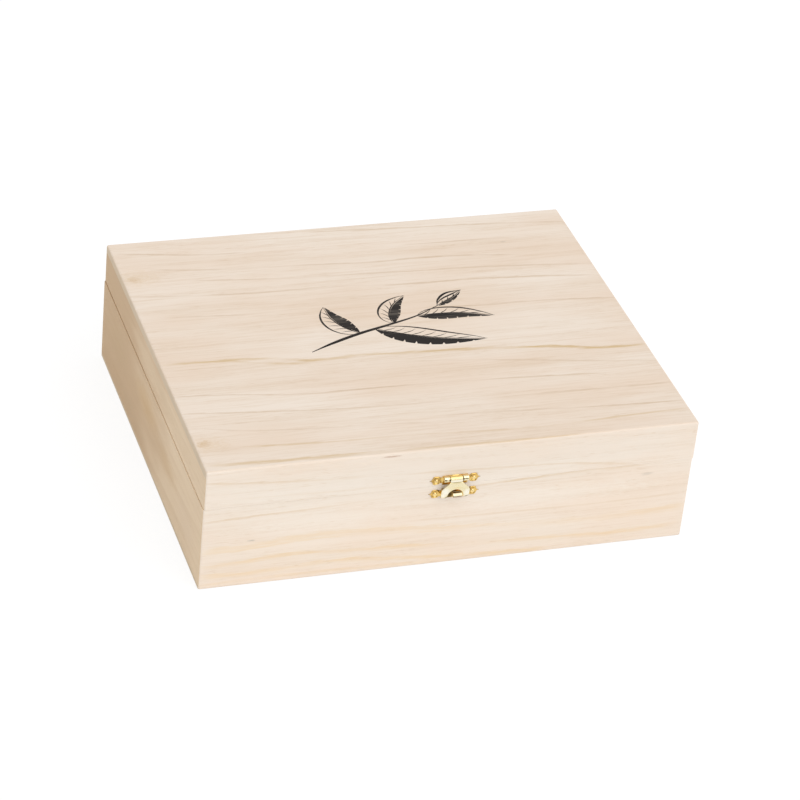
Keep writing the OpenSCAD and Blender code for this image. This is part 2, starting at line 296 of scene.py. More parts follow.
def wire_growth_rings(bench: Bench, given: dict[str, Socket]) -> dict[str, Socket]:
    """Growth rings about a pith line far below the face, with a crisp dark side to each ring.

    Args:
        bench: Bench of the group.
        given: The group's inputs by name.

    Returns:
        The outputs: the dark line, and the share of the way through a ring.
    """
    place, seed = given["place"], given["seed"]
    along, across, depth = bench.split(place)
    slow = bench.noise(place, (5.0, 16.0, 16.0), seed, detail=1.0)
    quick = bench.noise(place, (22.0, 60.0, 60.0), seed)
    sway = bench.total(
        bench.product(bench.centred(slow), given["sway"]),
        bench.product(bench.centred(quick), given["sway"], 0.12),
    )
    sideways = bench.total(across, bench.product(along, given["slope"]))
    from_pith = bench.math("SQRT", bench.total(
        bench.math("POWER", bench.gap(sideways, given["pith_across"]), 2.0),
        bench.math("POWER", bench.gap(depth, given["pith_depth"]), 2.0),
    ))
    ring = bench.math("DIVIDE", bench.total(from_pith, sway), given["pitch"])
    uneven = bench.noise(bench.vector(bench.product(ring, 0.8), seed, 0.0), detail=0.0)
    ring = bench.total(ring, bench.product(uneven, 1.1))
    step = bench.math("FRACT", ring)
    late = bench.product(bench.ramp(step, 0.5, 0.9), bench.fall(step, 0.92, 1.0))
    number = bench.vector(bench.math("FLOOR", ring), seed, 0.0)
    luck = bench.filled("ShaderNodeTexWhiteNoise", (number,), noise_dimensions="3D").outputs[0]
    broken = bench.ramp(bench.noise(place, (18.0, 90.0, 90.0), seed), 0.32, 0.62)
    return {"line": bench.product(late, luck, broken), "step": step}


def wire_fibre(bench: Bench, given: dict[str, Socket]) -> dict[str, Socket]:
    """Fine streaks along the fibres, short pores, and a slow change of tone.

    Args:
        bench: Bench of the group.
        given: The group's inputs by name.

    Returns:
        The outputs: streak, pores and tone, each from 0 to 1.
    """
    place, seed = given["place"], given["seed"]
    fine = bench.noise(place, (30.0, 900.0, 900.0), seed, rough=0.6)
    broad = bench.noise(place, (9.0, 230.0, 230.0), seed, detail=3.0, rough=0.6)
    tone = bench.noise(place, (7.0, 22.0, 22.0), seed, detail=3.0, rough=0.55)
    short = bench.noise(place, (110.0, 1500.0, 1500.0), seed, rough=0.6)
    dashes = bench.noise(place, (170.0, 2100.0, 2100.0), seed, detail=1.0, rough=0.4)
    pores = bench.product(bench.ramp(dashes, 0.62, 0.74), bench.ramp(broad, 0.38, 0.62))
    streak = bench.total(bench.product(fine, 0.35), bench.product(broad, 0.4), bench.product(short, 0.25))
    return {"streak": streak, "pores": pores, "tone": tone}


def wire_stroke(bench: Bench, given: dict[str, Socket]) -> dict[str, Socket]:
    """One growth line: a soft side, a crisp side, fuzz along the fibres, and breaks along its length.

    Args:
        bench: Bench of the group.
        given: The group's inputs by name.

    Returns:
        The mask of the line.
    """
    fuzz = bench.noise(given["place"], (90.0, 1100.0, 1100.0), rough=0.6)
    off = bench.math("DIVIDE", given["off"], given["width"])
    off = bench.total(off, bench.product(bench.centred(fuzz), 1.5))
    soft, crisp = bench.ramp(off, -1.0, 0.0), bench.fall(off, 0.0, 0.6)
    broken = bench.ramp(bench.noise(given["place"], (16.0, 120.0, 120.0)), 0.3, 0.62, first=0.12)
    return {"mask": bench.product(soft, crisp, broken, given["strength"])}


def wire_patch(bench: Bench, given: dict[str, Socket]) -> dict[str, Socket]:
    """An oval patch with a ragged rim and rings round its middle, for knots, flecks and stains, and for
    painted highlights, reflections and shade.

    Args:
        bench: Bench of the group.
        given: The group's inputs by name.

    Returns:
        The mask of the patch.
    """
    along, across, _ = bench.split(given["place"])
    ragged = bench.noise(given["place"], (260.0, 700.0, 700.0), rough=0.65)
    here_u = bench.math("DIVIDE", bench.gap(along, given["at_along"]), given["reach_along"])
    here_v = bench.math("DIVIDE", bench.gap(across, given["at_across"]), given["reach_across"])
    far = bench.math("SQRT", bench.total(bench.product(here_u, here_u), bench.product(here_v, here_v)))
    far = bench.total(far, bench.product(bench.centred(ragged), given["ragged"]))
    wave = bench.total(0.5, bench.product(bench.math("SINE", bench.product(far, 19.0)), 0.5))
    ringed = bench.gap(1.0, bench.product(wave, given["rings"]))
    return {"mask": bench.product(bench.fall(far, 0.15, 1.0), ringed, given["strength"])}


def wire_box_edges(bench: Bench, given: dict[str, Socket]) -> dict[str, Socket]:
    """Closeness to the outer edges of the case, which are darkened there with painted shade against the
    highlight on their rounding.

    Args:
        bench: Bench of the group.
        given: The group's inputs by name.

    Returns:
        The mask of the edges.
    """
    near = []
    for here, middle, half in zip(*(bench.split(given[key]) for key in ("place", "middle", "half"))):
        near.append(bench.gap(half, bench.math("ABSOLUTE", bench.gap(here, middle))))
    pairs = [bench.math("MAXIMUM", near[a], near[b]) for a, b in ((0, 1), (1, 2), (0, 2))]
    gap = reduce(partial(bench.math, "MINIMUM"), pairs)
    ragged = bench.noise(given["place"], (160.0, 160.0, 160.0), detail=3.0)
    reach = bench.product(given["reach"], bench.total(ragged, 0.5))
    return {"mask": bench.fall(bench.math("DIVIDE", gap, reach), 0.0, 1.0)}


def wire_handled_metal(bench: Bench, given: dict[str, Socket]) -> dict[str, Socket]:
    """Tarnish clouds, fine rub marks and a faint unevenness of plated metal.

    Args:
        bench: Bench of the group.
        given: The group's inputs by name.

    Returns:
        The outputs: tarnish, roughness and height.
    """
    place = given["place"]
    clouds = bench.noise(place, (330.0, 330.0, 330.0), detail=3.0, rough=0.6)
    rubs = bench.noise(place, (500.0, 2600.0, 1300.0), rough=0.6)
    uneven = bench.noise(place, (420.0, 420.0, 420.0), detail=1.0)
    tarnish = bench.product(bench.ramp(clouds, 0.45, 0.75), given["tarnish"])
    rough = bench.total(given["rough"], bench.product(tarnish, 0.25), bench.product(rubs, given["rubs"]))
    height = bench.total(bench.product(uneven, 0.7), bench.product(rubs, 0.12))
    return {"tarnish": tarnish, "rough": rough, "height": height}


# ---- Meshes -------------------------------------------------------------------------------


def metres(points: Iterable[Sequence[float]]) -> list[Vector]:
    """Turns points in millimetres into vectors in metres."""
    return [Vector(point) * MM for point in points]


def shift(x: float, y: float, z: float) -> Matrix:
    """A move by millimetres."""
    return Matrix.Translation(Vector((x, y, z)) * MM)


def mesh_from(vertices: Iterable[Sequence[float]], faces: Iterable[Sequence[int]]) -> Mesh:
    """Makes a mesh with merged doubles and outward normals.

    Args:
        vertices: Places in millimetres.
        faces: Corners of each face, as numbers of vertices.

    Returns:
        The mesh, in metres.
    """
    mesh = bpy.data.meshes.new("made")
    mesh.from_pydata(metres(vertices), [], list(faces))
    shape = bmesh.new()
    shape.from_mesh(mesh)
    bmesh.ops.remove_doubles(shape, verts=shape.verts, dist=1e-7)
    bmesh.ops.recalc_face_normals(shape, faces=shape.faces)
    shape.to_mesh(mesh)
    shape.free()
    return mesh


def joined(meshes: Iterable[Mesh], materials: Sequence[Material] = ()) -> Mesh:
    """Puts several meshes into one.

    Args:
        meshes: The meshes.
        materials: One material for each mesh, or none.

    Returns:
        The mesh of them all.
    """
    shape = bmesh.new()
    for number, mesh in enumerate(meshes):
        start = len(shape.faces)
        shape.from_mesh(mesh)
        shape.faces.ensure_lookup_table()
        for face in shape.faces[start:] if materials else ():
            face.material_index = number
    result = bpy.data.meshes.new("joined")
    shape.to_mesh(result)
    shape.free()
    for material in materials:
        result.materials.append(material)
    return result


def moved(mesh: Mesh, matrix: Matrix) -> Mesh:
    """Moves a mesh's own vertices, turning its faces back out where the matrix mirrors them.

    Args:
        mesh: The mesh, which is changed.
        matrix: Where it goes.

    Returns:
        The same mesh.
    """
    mesh.transform(matrix)
    if matrix.determinant() < 0.0:
        mesh.flip_normals()
    return mesh


def flattened(holder: bpy.types.Object) -> Mesh:
    """Turns an object with live modifiers into a plain mesh, and removes the object.

    Args:
        holder: The object, not yet in the scene.

    Returns:
        The plain mesh.
    """
    bpy.context.scene.collection.objects.link(holder)
    bpy.context.view_layer.update()
    result = bpy.data.meshes.new_from_object(holder.evaluated_get(bpy.context.evaluated_depsgraph_get()))
    bpy.data.objects.remove(holder)
    return result


def settled(mesh: Mesh, *modifiers: tuple[str, dict[str, object]]) -> Mesh:
    """Runs a mesh through modifiers.

    Args:
        mesh: The mesh to work on.
        modifiers: Kind and settings of each modifier, in order.

    Returns:
        The resulting plain mesh.
    """
    holder = bpy.data.objects.new("holder", mesh)
    for kind, settings in modifiers:
        made = holder.modifiers.new(kind.title(), kind)
        for key, value in settings.items():
            setattr(made, key, value)
    return flattened(holder)


def carved(mesh: Mesh, cutters: Mesh) -> Mesh:
    """Cuts one mesh out of another.

    Args:
        mesh: What is cut.
        cutters: What is taken away.

    Returns:
        What is left.
    """
    knife = bpy.data.objects.new("knife", cutters)
    bpy.context.scene.collection.objects.link(knife)
    result = settled(mesh, ("BOOLEAN", {"object": knife, "operation": "DIFFERENCE", "solver": "EXACT"}))
    bpy.data.objects.remove(knife)
    return result


def inset(outline: Sequence[Point], distance: float) -> list[Point]:
    """Moves a closed counter-clockwise outline inwards.

    Args:
        outline: Its corners.
        distance: How far each side moves.

    Returns:
        The moved corners.
    """
    result = []
    for here, point in enumerate(outline):
        before, after = outline[here - 1], outline[(here + 1) % len(outline)]
        one = Vector((point[0] - before[0], point[1] - before[1])).normalized()
        two = Vector((after[0] - point[0], after[1] - point[1])).normalized()
        bisector = Vector((-one.y - two.y, one.x + two.x))
        step = bisector * (2.0 * distance / bisector.length_squared)
        result.append((point[0] + step.x, point[1] + step.y))
    return result


def arc(centre: Point, radius: float, start: float, end: float, steps: int) -> list[Point]:
    """Points on an arc about a centre, from one angle in degrees to another."""
    turns = [math.radians(start + (end - start) * step / steps) for step in range(steps + 1)]
    return [(centre[0] + radius * math.cos(t), centre[1] + radius * math.sin(t)) for t in turns]


def lofted(rings: Sequence[Sequence[Sequence[float]]]) -> Mesh:
    """Joins rings of equal length with walls and caps the ends.

    Args:
        rings: The rings, each a list of places.

    Returns:
        The closed form.
    """
    count = len(rings[0])
    vertices = [point for ring in rings for point in ring]
    faces = []
    for low in range(0, len(vertices) - count, count):
        high = low + count
        faces += [(low + k, low + (k + 1) % count, high + (k + 1) % count, high + k) for k in range(count)]
    faces += [tuple(reversed(range(count))), tuple(range(len(vertices) - count, len(vertices)))]
    return mesh_from(vertices, faces)


def eased_prism(
    outline: Sequence[Point], z0: float, z1: float, low: float, high: float, steps: int = 3,
) -> Mesh:
    """Upright prism whose lower and upper rims are rounded.

    Args:
        outline: Its corners, counter-clockwise.
        z0: Its lower end.
        z1: Its upper end.
        low: Radius of the lower rim.
        high: Radius of the upper rim.
        steps: Facets of each rounding.

    Returns:
        The prism.
    """
    rings = []
    for level, radius, sign in ((z0, low, 1.0), (z1, high, -1.0)):
        turns = [math.pi / 2 * step / steps for step in range(steps + 1)]
        ease = [(radius * (1 - math.sin(t)), level + sign * radius * (1 - math.cos(t))) for t in turns]
        for drawn_in, z in ease if sign > 0 else reversed(ease):
            rings.append([(x, y, z) for x, y in inset(outline, drawn_in)])
    return lofted(rings)


def rounded_outline(width: float, depth: float, radius: float, steps: int = 6) -> list[Point]:
    """Rectangle about the origin with rounded corners.

    Args:
        width: Its whole width.
        depth: Its whole depth.
        radius: Radius of its corners.
        steps: Facets of each corner.

    Returns:
        Its outline.
    """
    result = []
    for turn, (x, y) in enumerate(((1, 1), (-1, 1), (-1, -1), (1, -1))):
        centre = (x * (width / 2 - radius), y * (depth / 2 - radius))
        result += arc(centre, radius, 90 * turn, 90 * turn + 90, steps)
    return result


def turned(profile: Sequence[Point], steps: int = 32) -> Mesh:
    """Turns a profile about Z.

    Args:
        profile: Points as (radius, height); its ends lie on the axis or close the form.
        steps: Facets round the axis.

    Returns:
        The turned form.
    """
    vertices = []
    for step in range(steps):
        t = math.tau * step / steps
        vertices += [(r * math.cos(t), r * math.sin(t), z) for r, z in profile]
    count = len(profile)
    faces = []
    for step in range(steps):
        here, after = step * count, (step + 1) % steps * count
        faces += [(here + k, after + k, after + k + 1, here + k + 1) for k in range(count - 1)]
    return mesh_from(vertices, faces)


def run_along_x(section: Sequence[Point], x0: float, x1: float, ease: float) -> Mesh:
    """Runs a closed section along X.

    Args:
        section: Its corners as (y, z).
        x0: Where it starts.
        x1: Where it ends.
        ease: How far its ends are drawn in and eased.

    Returns:
        The bar.
    """
    drawn = inset(section, ease)
    stations = ((x0, drawn), (x0 + ease, section), (x1 - ease, section), (x1, drawn))
    return lofted([[(x, y, z) for y, z in ring] for x, ring in stations])


def piece(
    name: str, mesh: Mesh, body: Body, nodes: Sequence[str],
    material: Material | None = None, smooth: float | None = None,
) -> None:
    """Hangs a finished mesh on its body.

    Args:
        name: Name of the piece.
        mesh: Its mesh, in place and in metres.
        body: The body that it moves with.
        nodes: The solids that it stands for.
        material: Its material, or None where the mesh has its own.
        smooth: Angle in degrees over which edges stay sharp, or None for flat faces.
    """
    mesh.name = name
    if material is not None:
        mesh.materials.clear()
        mesh.materials.append(material)
    if smooth is not None:
        mesh.shade_smooth()
        mesh.set_sharp_from_angle(angle=math.radians(smooth))
    made = bpy.data.objects.new(name, mesh)
    bpy.context.scene.collection.objects.link(made)
    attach(made, body.value)
    if nodes:
        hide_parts(*nodes)
    stands_for = ", ".join(nodes) or "no solid"
    LOG.info("%s: %d faces on %s for %s", name, len(mesh.polygons), body.value, stands_for)


# ---- Geometry Nodes -----------------------------------------------------------------------


class Tree:
    """A Geometry Nodes tree with named inputs, grown once for each set of values."""

    KINDS = {
        "length": "NodeSocketFloat", "count": "NodeSocketInt", "vector": "NodeSocketVector",
        "object": "NodeSocketObject", "material": "NodeSocketMaterial",
    }

    def __init__(self, name: str, inputs: dict[str, str], wire: Callable) -> None:
        """Builds the tree.

        Args:
            name: Name of the tree.
            inputs: Kind of each named input.
            wire: Takes the tree's bench and its input sockets by name, returns the geometry socket.
        """
        self.tree = bpy.data.node_groups.new(name, "GeometryNodeTree")
        face = self.tree.interface
        face.new_socket("base", in_out="INPUT", socket_type="NodeSocketGeometry")
        self.marks = {}
        for key, kind in inputs.items():
            made = face.new_socket(key, in_out="INPUT", socket_type=self.KINDS[kind])
            self.marks[key] = made.identifier
        face.new_socket("result", in_out="OUTPUT", socket_type="NodeSocketGeometry")
        bench = Bench(self.tree)
        entry = bench.node("NodeGroupInput")
        given = {key: entry.outputs[key] for key in ("base", *inputs)}
        plain = bench.filled("GeometryNodeRealizeInstances", (wire(bench, given),)).outputs[0]
        dressed = bench.filled("GeometryNodeSetMaterial", (plain, None, given["material"])).outputs[0]
        bench.fitted("NodeGroupOutput", {"result": dressed})

    def grown(self, base: Mesh | None = None, **values: object) -> Mesh:
        """Grows the tree on a base mesh.

        Args:
            base: The mesh that comes in, or None for an empty one.
            values: The named inputs.

        Returns:
            The resulting plain mesh.
        """
        holder = bpy.data.objects.new("holder", base or bpy.data.meshes.new("empty"))
        modifier = holder.modifiers.new("Grow", "NODES")
        modifier.node_group = self.tree
        for key, value in values.items():
            modifier[self.marks[key]] = value
        return flattened(holder)


def wire_fasteners(bench: Bench, given: dict[str, Socket]) -> Socket:
    """Puts the template on every point of the base, turned by chance about the way it faces.

    Args:
        bench: Bench of the tree.
        given: The tree's inputs by name.

    Returns:
        The row of copies.
    """
    sources = {"Object": given["template"]}
    template = bench.fitted("GeometryNodeObjectInfo", sources, transform_space="ORIGINAL")
    chance = bench.fitted("FunctionNodeRandomValue", {"Seed": given["seed"]}, data_type="FLOAT")
    floats = [socket for socket in chance.inputs if socket.type == "VALUE"]
    bench.feed(floats[0], 0.0)
    bench.feed(floats[1], given["turn"])
    spin = next(socket for socket in chance.outputs if socket.type == "VALUE")
    own = bench.filled("FunctionNodeEulerToRotation", (bench.vector(0.0, 0.0, spin),)).outputs[0]
    facing = bench.filled("FunctionNodeEulerToRotation", (given["facing"],)).outputs[0]
    turn = bench.filled("FunctionNodeRotateRotation", (facing, own), rotation_space="LOCAL").outputs[0]
    return bench.fitted("GeometryNodeInstanceOnPoints", {
        "Points": given["base"], "Instance": template.outputs["Geometry"], "Rotation": turn,
    }).outputs[0]


def repeated(bench: Bench, shape: Socket, count: Socket, start: Socket, offset: Socket) -> Socket:
    """Repeats a shape along a line.

    Args:
        bench: Bench of the tree.
        shape: The shape.
        count: How often it comes.
        start: Where the first one goes.
        offset: The step to the next one.

    Returns:
        The row of copies.
    """
    sources = {"Count": count, "Start Location": start, "Offset": offset}
    line = bench.fitted("GeometryNodeMeshLine", sources, mode="OFFSET").outputs[0]
    return bench.fitted("GeometryNodeInstanceOnPoints", {"Points": line, "Instance": shape}).outputs[0]


def wire_knuckles(bench: Bench, given: dict[str, Socket]) -> Socket:
    """Adds a row of rolled knuckles along X to a leaf's plate.

    Args:
        bench: Bench of the tree.
        given: The tree's inputs by name.

    Returns:
        The leaf.
    """
    sources = {"Object": given["template"]}
    template = bench.fitted("GeometryNodeObjectInfo", sources, transform_space="ORIGINAL")
    step = bench.vector(given["pitch"], 0.0, 0.0)
    row = repeated(bench, template.outputs["Geometry"], given["count"], given["start"], step)
    both = bench.node("GeometryNodeJoinGeometry")
    for part in (given["base"], row):
        bench.feed(both.inputs[0], part)
    return both.outputs[0]


def wire_strips(bench: Bench, given: dict[str, Socket]) -> Socket:
    """Lays equal strips side by side and cuts a row of equal slots through them.

    Args:
        bench: Bench of the tree.
        given: The tree's inputs by name.

    Returns:
        The slotted strips.
    """
    rows = []
    for kind in ("strip", "slot"):
        block = bench.fitted("GeometryNodeMeshCube", {"Size": given[f"{kind}_size"]}).outputs[0]
        row = repeated(bench, block, given[f"{kind}s"], given[f"{kind}_start"], given[f"{kind}_offset"])
        rows.append(bench.filled("GeometryNodeRealizeInstances", (row,)).outputs[0])
    sources = {"Mesh 1": rows[0], "Mesh 2": rows[1]}
    return bench.fitted("GeometryNodeMeshBoolean", sources, operation="DIFFERENCE", solver="EXACT").outputs[0]


# ---- Case ---------------------------------------------------------------------------------


class Side(Enum):
    """The four walls, with how a board drawn along X at the back is brought to each."""

    BACK = ((1, 0), (0, 1))
    FRONT = ((1, 0), (0, -1))
    RIGHT = ((0, 1), (1, 0))
    LEFT = ((0, -1), (1, 0))

    def matrix(self, aside: float = 0.0) -> Matrix:
        """Brings a board from the back to this side, then to the right by millimetres."""
        (xx, xy), (yx, yy) = self.value
        return Matrix(((xx, xy, 0, aside * MM), (yx, yy, 0, 0), (0, 0, 1, 0), (0, 0, 0, 1)))

    @property
    def long(self) -> bool:
        """True for the boards along X."""
        return self in (Side.BACK, Side.FRONT)


@dataclass(frozen=True)
class Case:
    """Sizes that the base and the lid share, in millimetres."""

    width: float = 280.0
    depth: float = 236.0
    height: float = 77.0
    rim: float = 52.5
    wall: float = 7.0
    top: float = 4.5
    bottom: float = 3.0
    edge_r: float = 1.2
    seam_gap: float = 0.3
    front_gap: float = 0.06
    lid_shift: float = 0.5
    glue_ease: float = 0.06
    front_ease: float = 0.04
    rim_ease: float = 0.14
    top_sink: float = 0.05

    @property
    def middle_seam(self) -> float:
        """Height of the middle of the seam."""
        return self.rim + self.seam_gap / 2

    def board(
        self, side: Side, z0: float, z1: float, low: float, high: float,
        cuts: Iterable[float] = (), aside: float = 0.0,
    ) -> Mesh:
        """One mitred side board.

        Args:
            side: Which wall it is.
            z0: Its lower edge.
            z1: Its upper edge.
            low: Rounding of its lower edges.
            high: Rounding of its upper edges.
            cuts: Middles of the dividers' grooves along it.
            aside: How far it sits to the right.

        Returns:
            Its mesh, in place.
        """
        x, y = (self.width / 2, self.depth / 2) if side.long else (self.depth / 2, self.width / 2)
        r, w, half, deep = self.edge_r, self.wall, DividerGrid.groove / 2, DividerGrid.groove_depth
        outline = [(x - w, y - w), *arc((x - r, y - r), r, 45, 90, 4)]
        outline += [*arc((r - x, y - r), r, 90, 135, 4), (w - x, y - w)]
        for cut in sorted(cuts):
            corners = ((-half, 0.0), (-half, deep), (half, deep), (half, 0.0))
            outline += [(cut + along, y - w + into) for along, into in corners]
        return moved(eased_prism(outline, z0, z1, low, high), side.matrix(aside))

    def panel(self, z0: float, z1: float, low: float, high: float, aside: float = 0.0) -> Mesh:
        """A panel that covers the whole case, with its own rounding below and above."""
        outline = rounded_outline(self.width, self.depth, self.edge_r)
        return moved(eased_prism(outline, z0, z1, low, high, 6), shift(aside, 0, 0))


@dataclass
class Base:
    """The lower part of the case."""

    case: Case
    finishes: "Finishes"

    def build(self, grid: "DividerGrid") -> None:
        """Makes the four grooved boards and the bottom panel.

        Args:
            grid: The dividers, whose grooves the boards have.
        """
        case = self.case
        for side in Side:
            front = side is Side.FRONT
            rim = case.middle_seam - case.front_gap / 2 if front else case.rim
            ease = case.front_ease if front else case.rim_ease
            cuts = grid.column_middles() if side.long else grid.row_middles()
            mesh = case.board(side, case.bottom, rim, case.glue_ease, ease, cuts)
            name, wood = f"base_{side.name.lower()}", self.finishes.walls[side]
            piece(f"{name}_board", mesh, Body.BASE, [name], wood)
        mesh = case.panel(0.0, case.bottom, case.edge_r, case.glue_ease)
        mesh = self.finishes.panelled(mesh, self.finishes.bottom)
        piece("bottom_board", mesh, Body.BASE, ["bottom_panel"])


@dataclass
class Lid:
    """The upper part of the case, a little to the right of the base."""

    case: Case
    finishes: "Finishes"

    def build(self) -> None:
        """Makes the four boards and the top panel."""
        case = self.case
        under_top = case.height - case.top
        for side in Side:
            front = side is Side.FRONT
            lower = case.middle_seam + case.front_gap / 2 if front else case.rim + case.seam_gap
            ease = case.front_ease if front else case.rim_ease
            mesh = case.board(side, lower, under_top, ease, case.glue_ease, aside=case.lid_shift)
            name, wood = f"lid_{side.name.lower()}", self.finishes.walls[side]
            piece(f"{name}_board", mesh, Body.LID, [name], wood)
        level = case.height - case.top_sink
        mesh = case.panel(under_top, level, case.glue_ease, case.edge_r, case.lid_shift)
        mesh = self.finishes.panelled(mesh, self.finishes.top)
        piece("lid_top_board", mesh, Body.LID, ["lid_top_panel"])


@dataclass
class DividerGrid:
    """Strips that halve into each other and make the compartments."""

    case: Case
    finishes: "Finishes"
    columns: int = 4
    rows: int = 3
    thickness: float = 2.5
    drop: float = 4.0
    fit: float = 0.15
    ease: float = 0.25
    groove: float = 2.8
    groove_depth: float = 2.0

    def middles(self, inner: float, count: int) -> list[float]:
        """Middles of the dividers that part an inner length into equal spaces."""
        span = inner + self.thickness
        return [-span / 2 + span / count * place for place in range(1, count)]

    def column_middles(self) -> list[float]:
        """X of the cross dividers."""
        return self.middles(self.case.width - 2 * self.case.wall, self.columns)

    def row_middles(self) -> list[float]:
        """Y of the long dividers."""
        return self.middles(self.case.depth - 2 * self.case.wall, self.rows)

    def build(self) -> None:
        """Grows both sets of strips with their halving slots and eases their edges."""
        case, finishes = self.case, self.finishes
        tree = Tree("divider_strips", {
            "strip_size": "vector", "strips": "count", "strip_start": "vector", "strip_offset": "vector",
            "slot_size": "vector", "slots": "count", "slot_start": "vector", "slot_offset": "vector",
            "material": "material",
        }, wire_strips)
        height = case.rim - self.drop - case.bottom
        middle = case.bottom + height / 2
        xs, ys = self.column_middles(), self.row_middles()
        reach = 2 * (self.groove_depth - self.fit - case.wall)
        sets = (
            ("long", xs, ys, case.width + reach, middle + height / 2, finishes.long_strip),
            ("cross", ys, xs, case.depth + reach, middle - height / 2 + self.fit, finishes.cross_strip),
        )
        grown, nodes = [], []
        for kind, across, along, length, slot_z, wood in sets:
            mesh = tree.grown(
                strip_size=Vector((length, self.thickness, height)) * MM,
                strips=len(along),
                strip_start=Vector((0, along[0], middle)) * MM,
                strip_offset=Vector((0, along[1] - along[0], 0)) * MM,
                slot_size=Vector((self.groove, case.width, height)) * MM,
                slots=len(across),
                slot_start=Vector((across[0], 0, slot_z)) * MM,
                slot_offset=Vector((across[1] - across[0], 0, 0)) * MM,
                material=wood,
            )
            if kind == "cross":
                mesh = moved(mesh, Side.RIGHT.matrix())
            bevel = {"width": self.ease * MM, "segments": 2, "limit_method": "ANGLE"}
            grown.append(settled(mesh, ("BEVEL", bevel)))
            nodes += [f"{kind}_divider_{number + 1}" for number in range(len(along))]
            LOG.info("strips: %d of %.1f mm", len(along), length)
        mesh = joined(grown, [wood for *_, wood in sets])
        piece("divider_grid", mesh, Body.BASE, nodes)


# ---- Fasteners ----------------------------------------------------------------------------


class Template:
    """A shape kept out of the scene while Geometry Nodes copy it."""

    def __init__(self, mesh: Mesh) -> None:
        """Hangs the mesh on an object that isn't linked to the scene."""
        self.shape = bpy.data.objects.new("template", mesh)

    def __enter__(self) -> bpy.types.Object:
        """Hands out the object."""
        return self.shape

    def __exit__(self, *_: object) -> None:
        """Removes the object."""
        bpy.data.objects.remove(self.shape)


def rectangle(x0: float, y0: float, x1: float, y1: float) -> list[Point]:
    """Outline of a rectangle between two corners."""
    return [(x0, y0), (x1, y0), (x1, y1), (x0, y1)]


def rod(end: Sequence[Point], steps: int) -> Mesh:
    """Turns a rod along X from the profile of one of its equal ends, as (radius, length)."""
    profile = [*((r, -z) for r, z in reversed(end)), *end]
    return moved(turned(profile, steps), Matrix.Rotation(math.pi / 2, 4, "Y"))


@dataclass
class Fastener:
    """A screw or a nail that a Geometry Nodes row sets into place; a screw has a slot."""

    shank_r: float
    head_r: float
    length: float
    seat: float
    dome: float
    slot: float = 0.0
    slot_depth: float = 0.6
    seed: int = 5

    def shape(self) -> Mesh:
        """Makes one fastener along Z, its shank below 0.

        Returns:
            The fastener.
        """
        r, head, seat = self.shank_r, self.head_r, self.seat
        profile = [(0.0, -self.length), (r * 0.5, -self.length + 0.5), (r, -self.length + 1.2)]
        if self.slot:
            profile += [(r, 0.0), (head - 0.1, seat - 0.06), (head, seat)]
        else:
            profile += [(r, seat), (head - 0.06, seat), (head, seat + 0.1)]
        start_z = profile[-1][1]
        rise = seat + self.dome - start_z
        steps = 9
        for step in range(1, steps + 1):
            t = math.pi / 2 * step / steps
            profile.append((head * math.cos(t), start_z + rise * math.sin(t)))
        profile[-1] = (0.0, profile[-1][1])
        mesh = turned(profile, 40)
        if not self.slot:
            return mesh
        reach, top = head + 1.0, seat + self.dome + 1.0
        half, foot = self.slot / 2, seat + self.dome - self.slot_depth
        return carved(mesh, eased_prism(rectangle(-reach, -half, reach, half), foot, top, 0.02, 0.02, 1))

    def set_in(self, tree: Tree, places: Iterable[Place], facing: Place, material: Material) -> Mesh:
        """Sets one fastener on each place.

        Args:
            tree: The tree of a row.
            places: Where they go, in millimetres.
            facing: Turn of their Z axis, as Euler angles.
            material: Their material.

        Returns:
            The row.
        """
        points = bpy.data.meshes.new("places")
        points.from_pydata(metres(places), [], [])
        with Template(self.shape()) as template:
            return tree.grown(
                points, template=template, turn=math.pi, seed=self.seed, facing=facing, material=material,
            )


# ---- Hinges -------------------------------------------------------------------------------


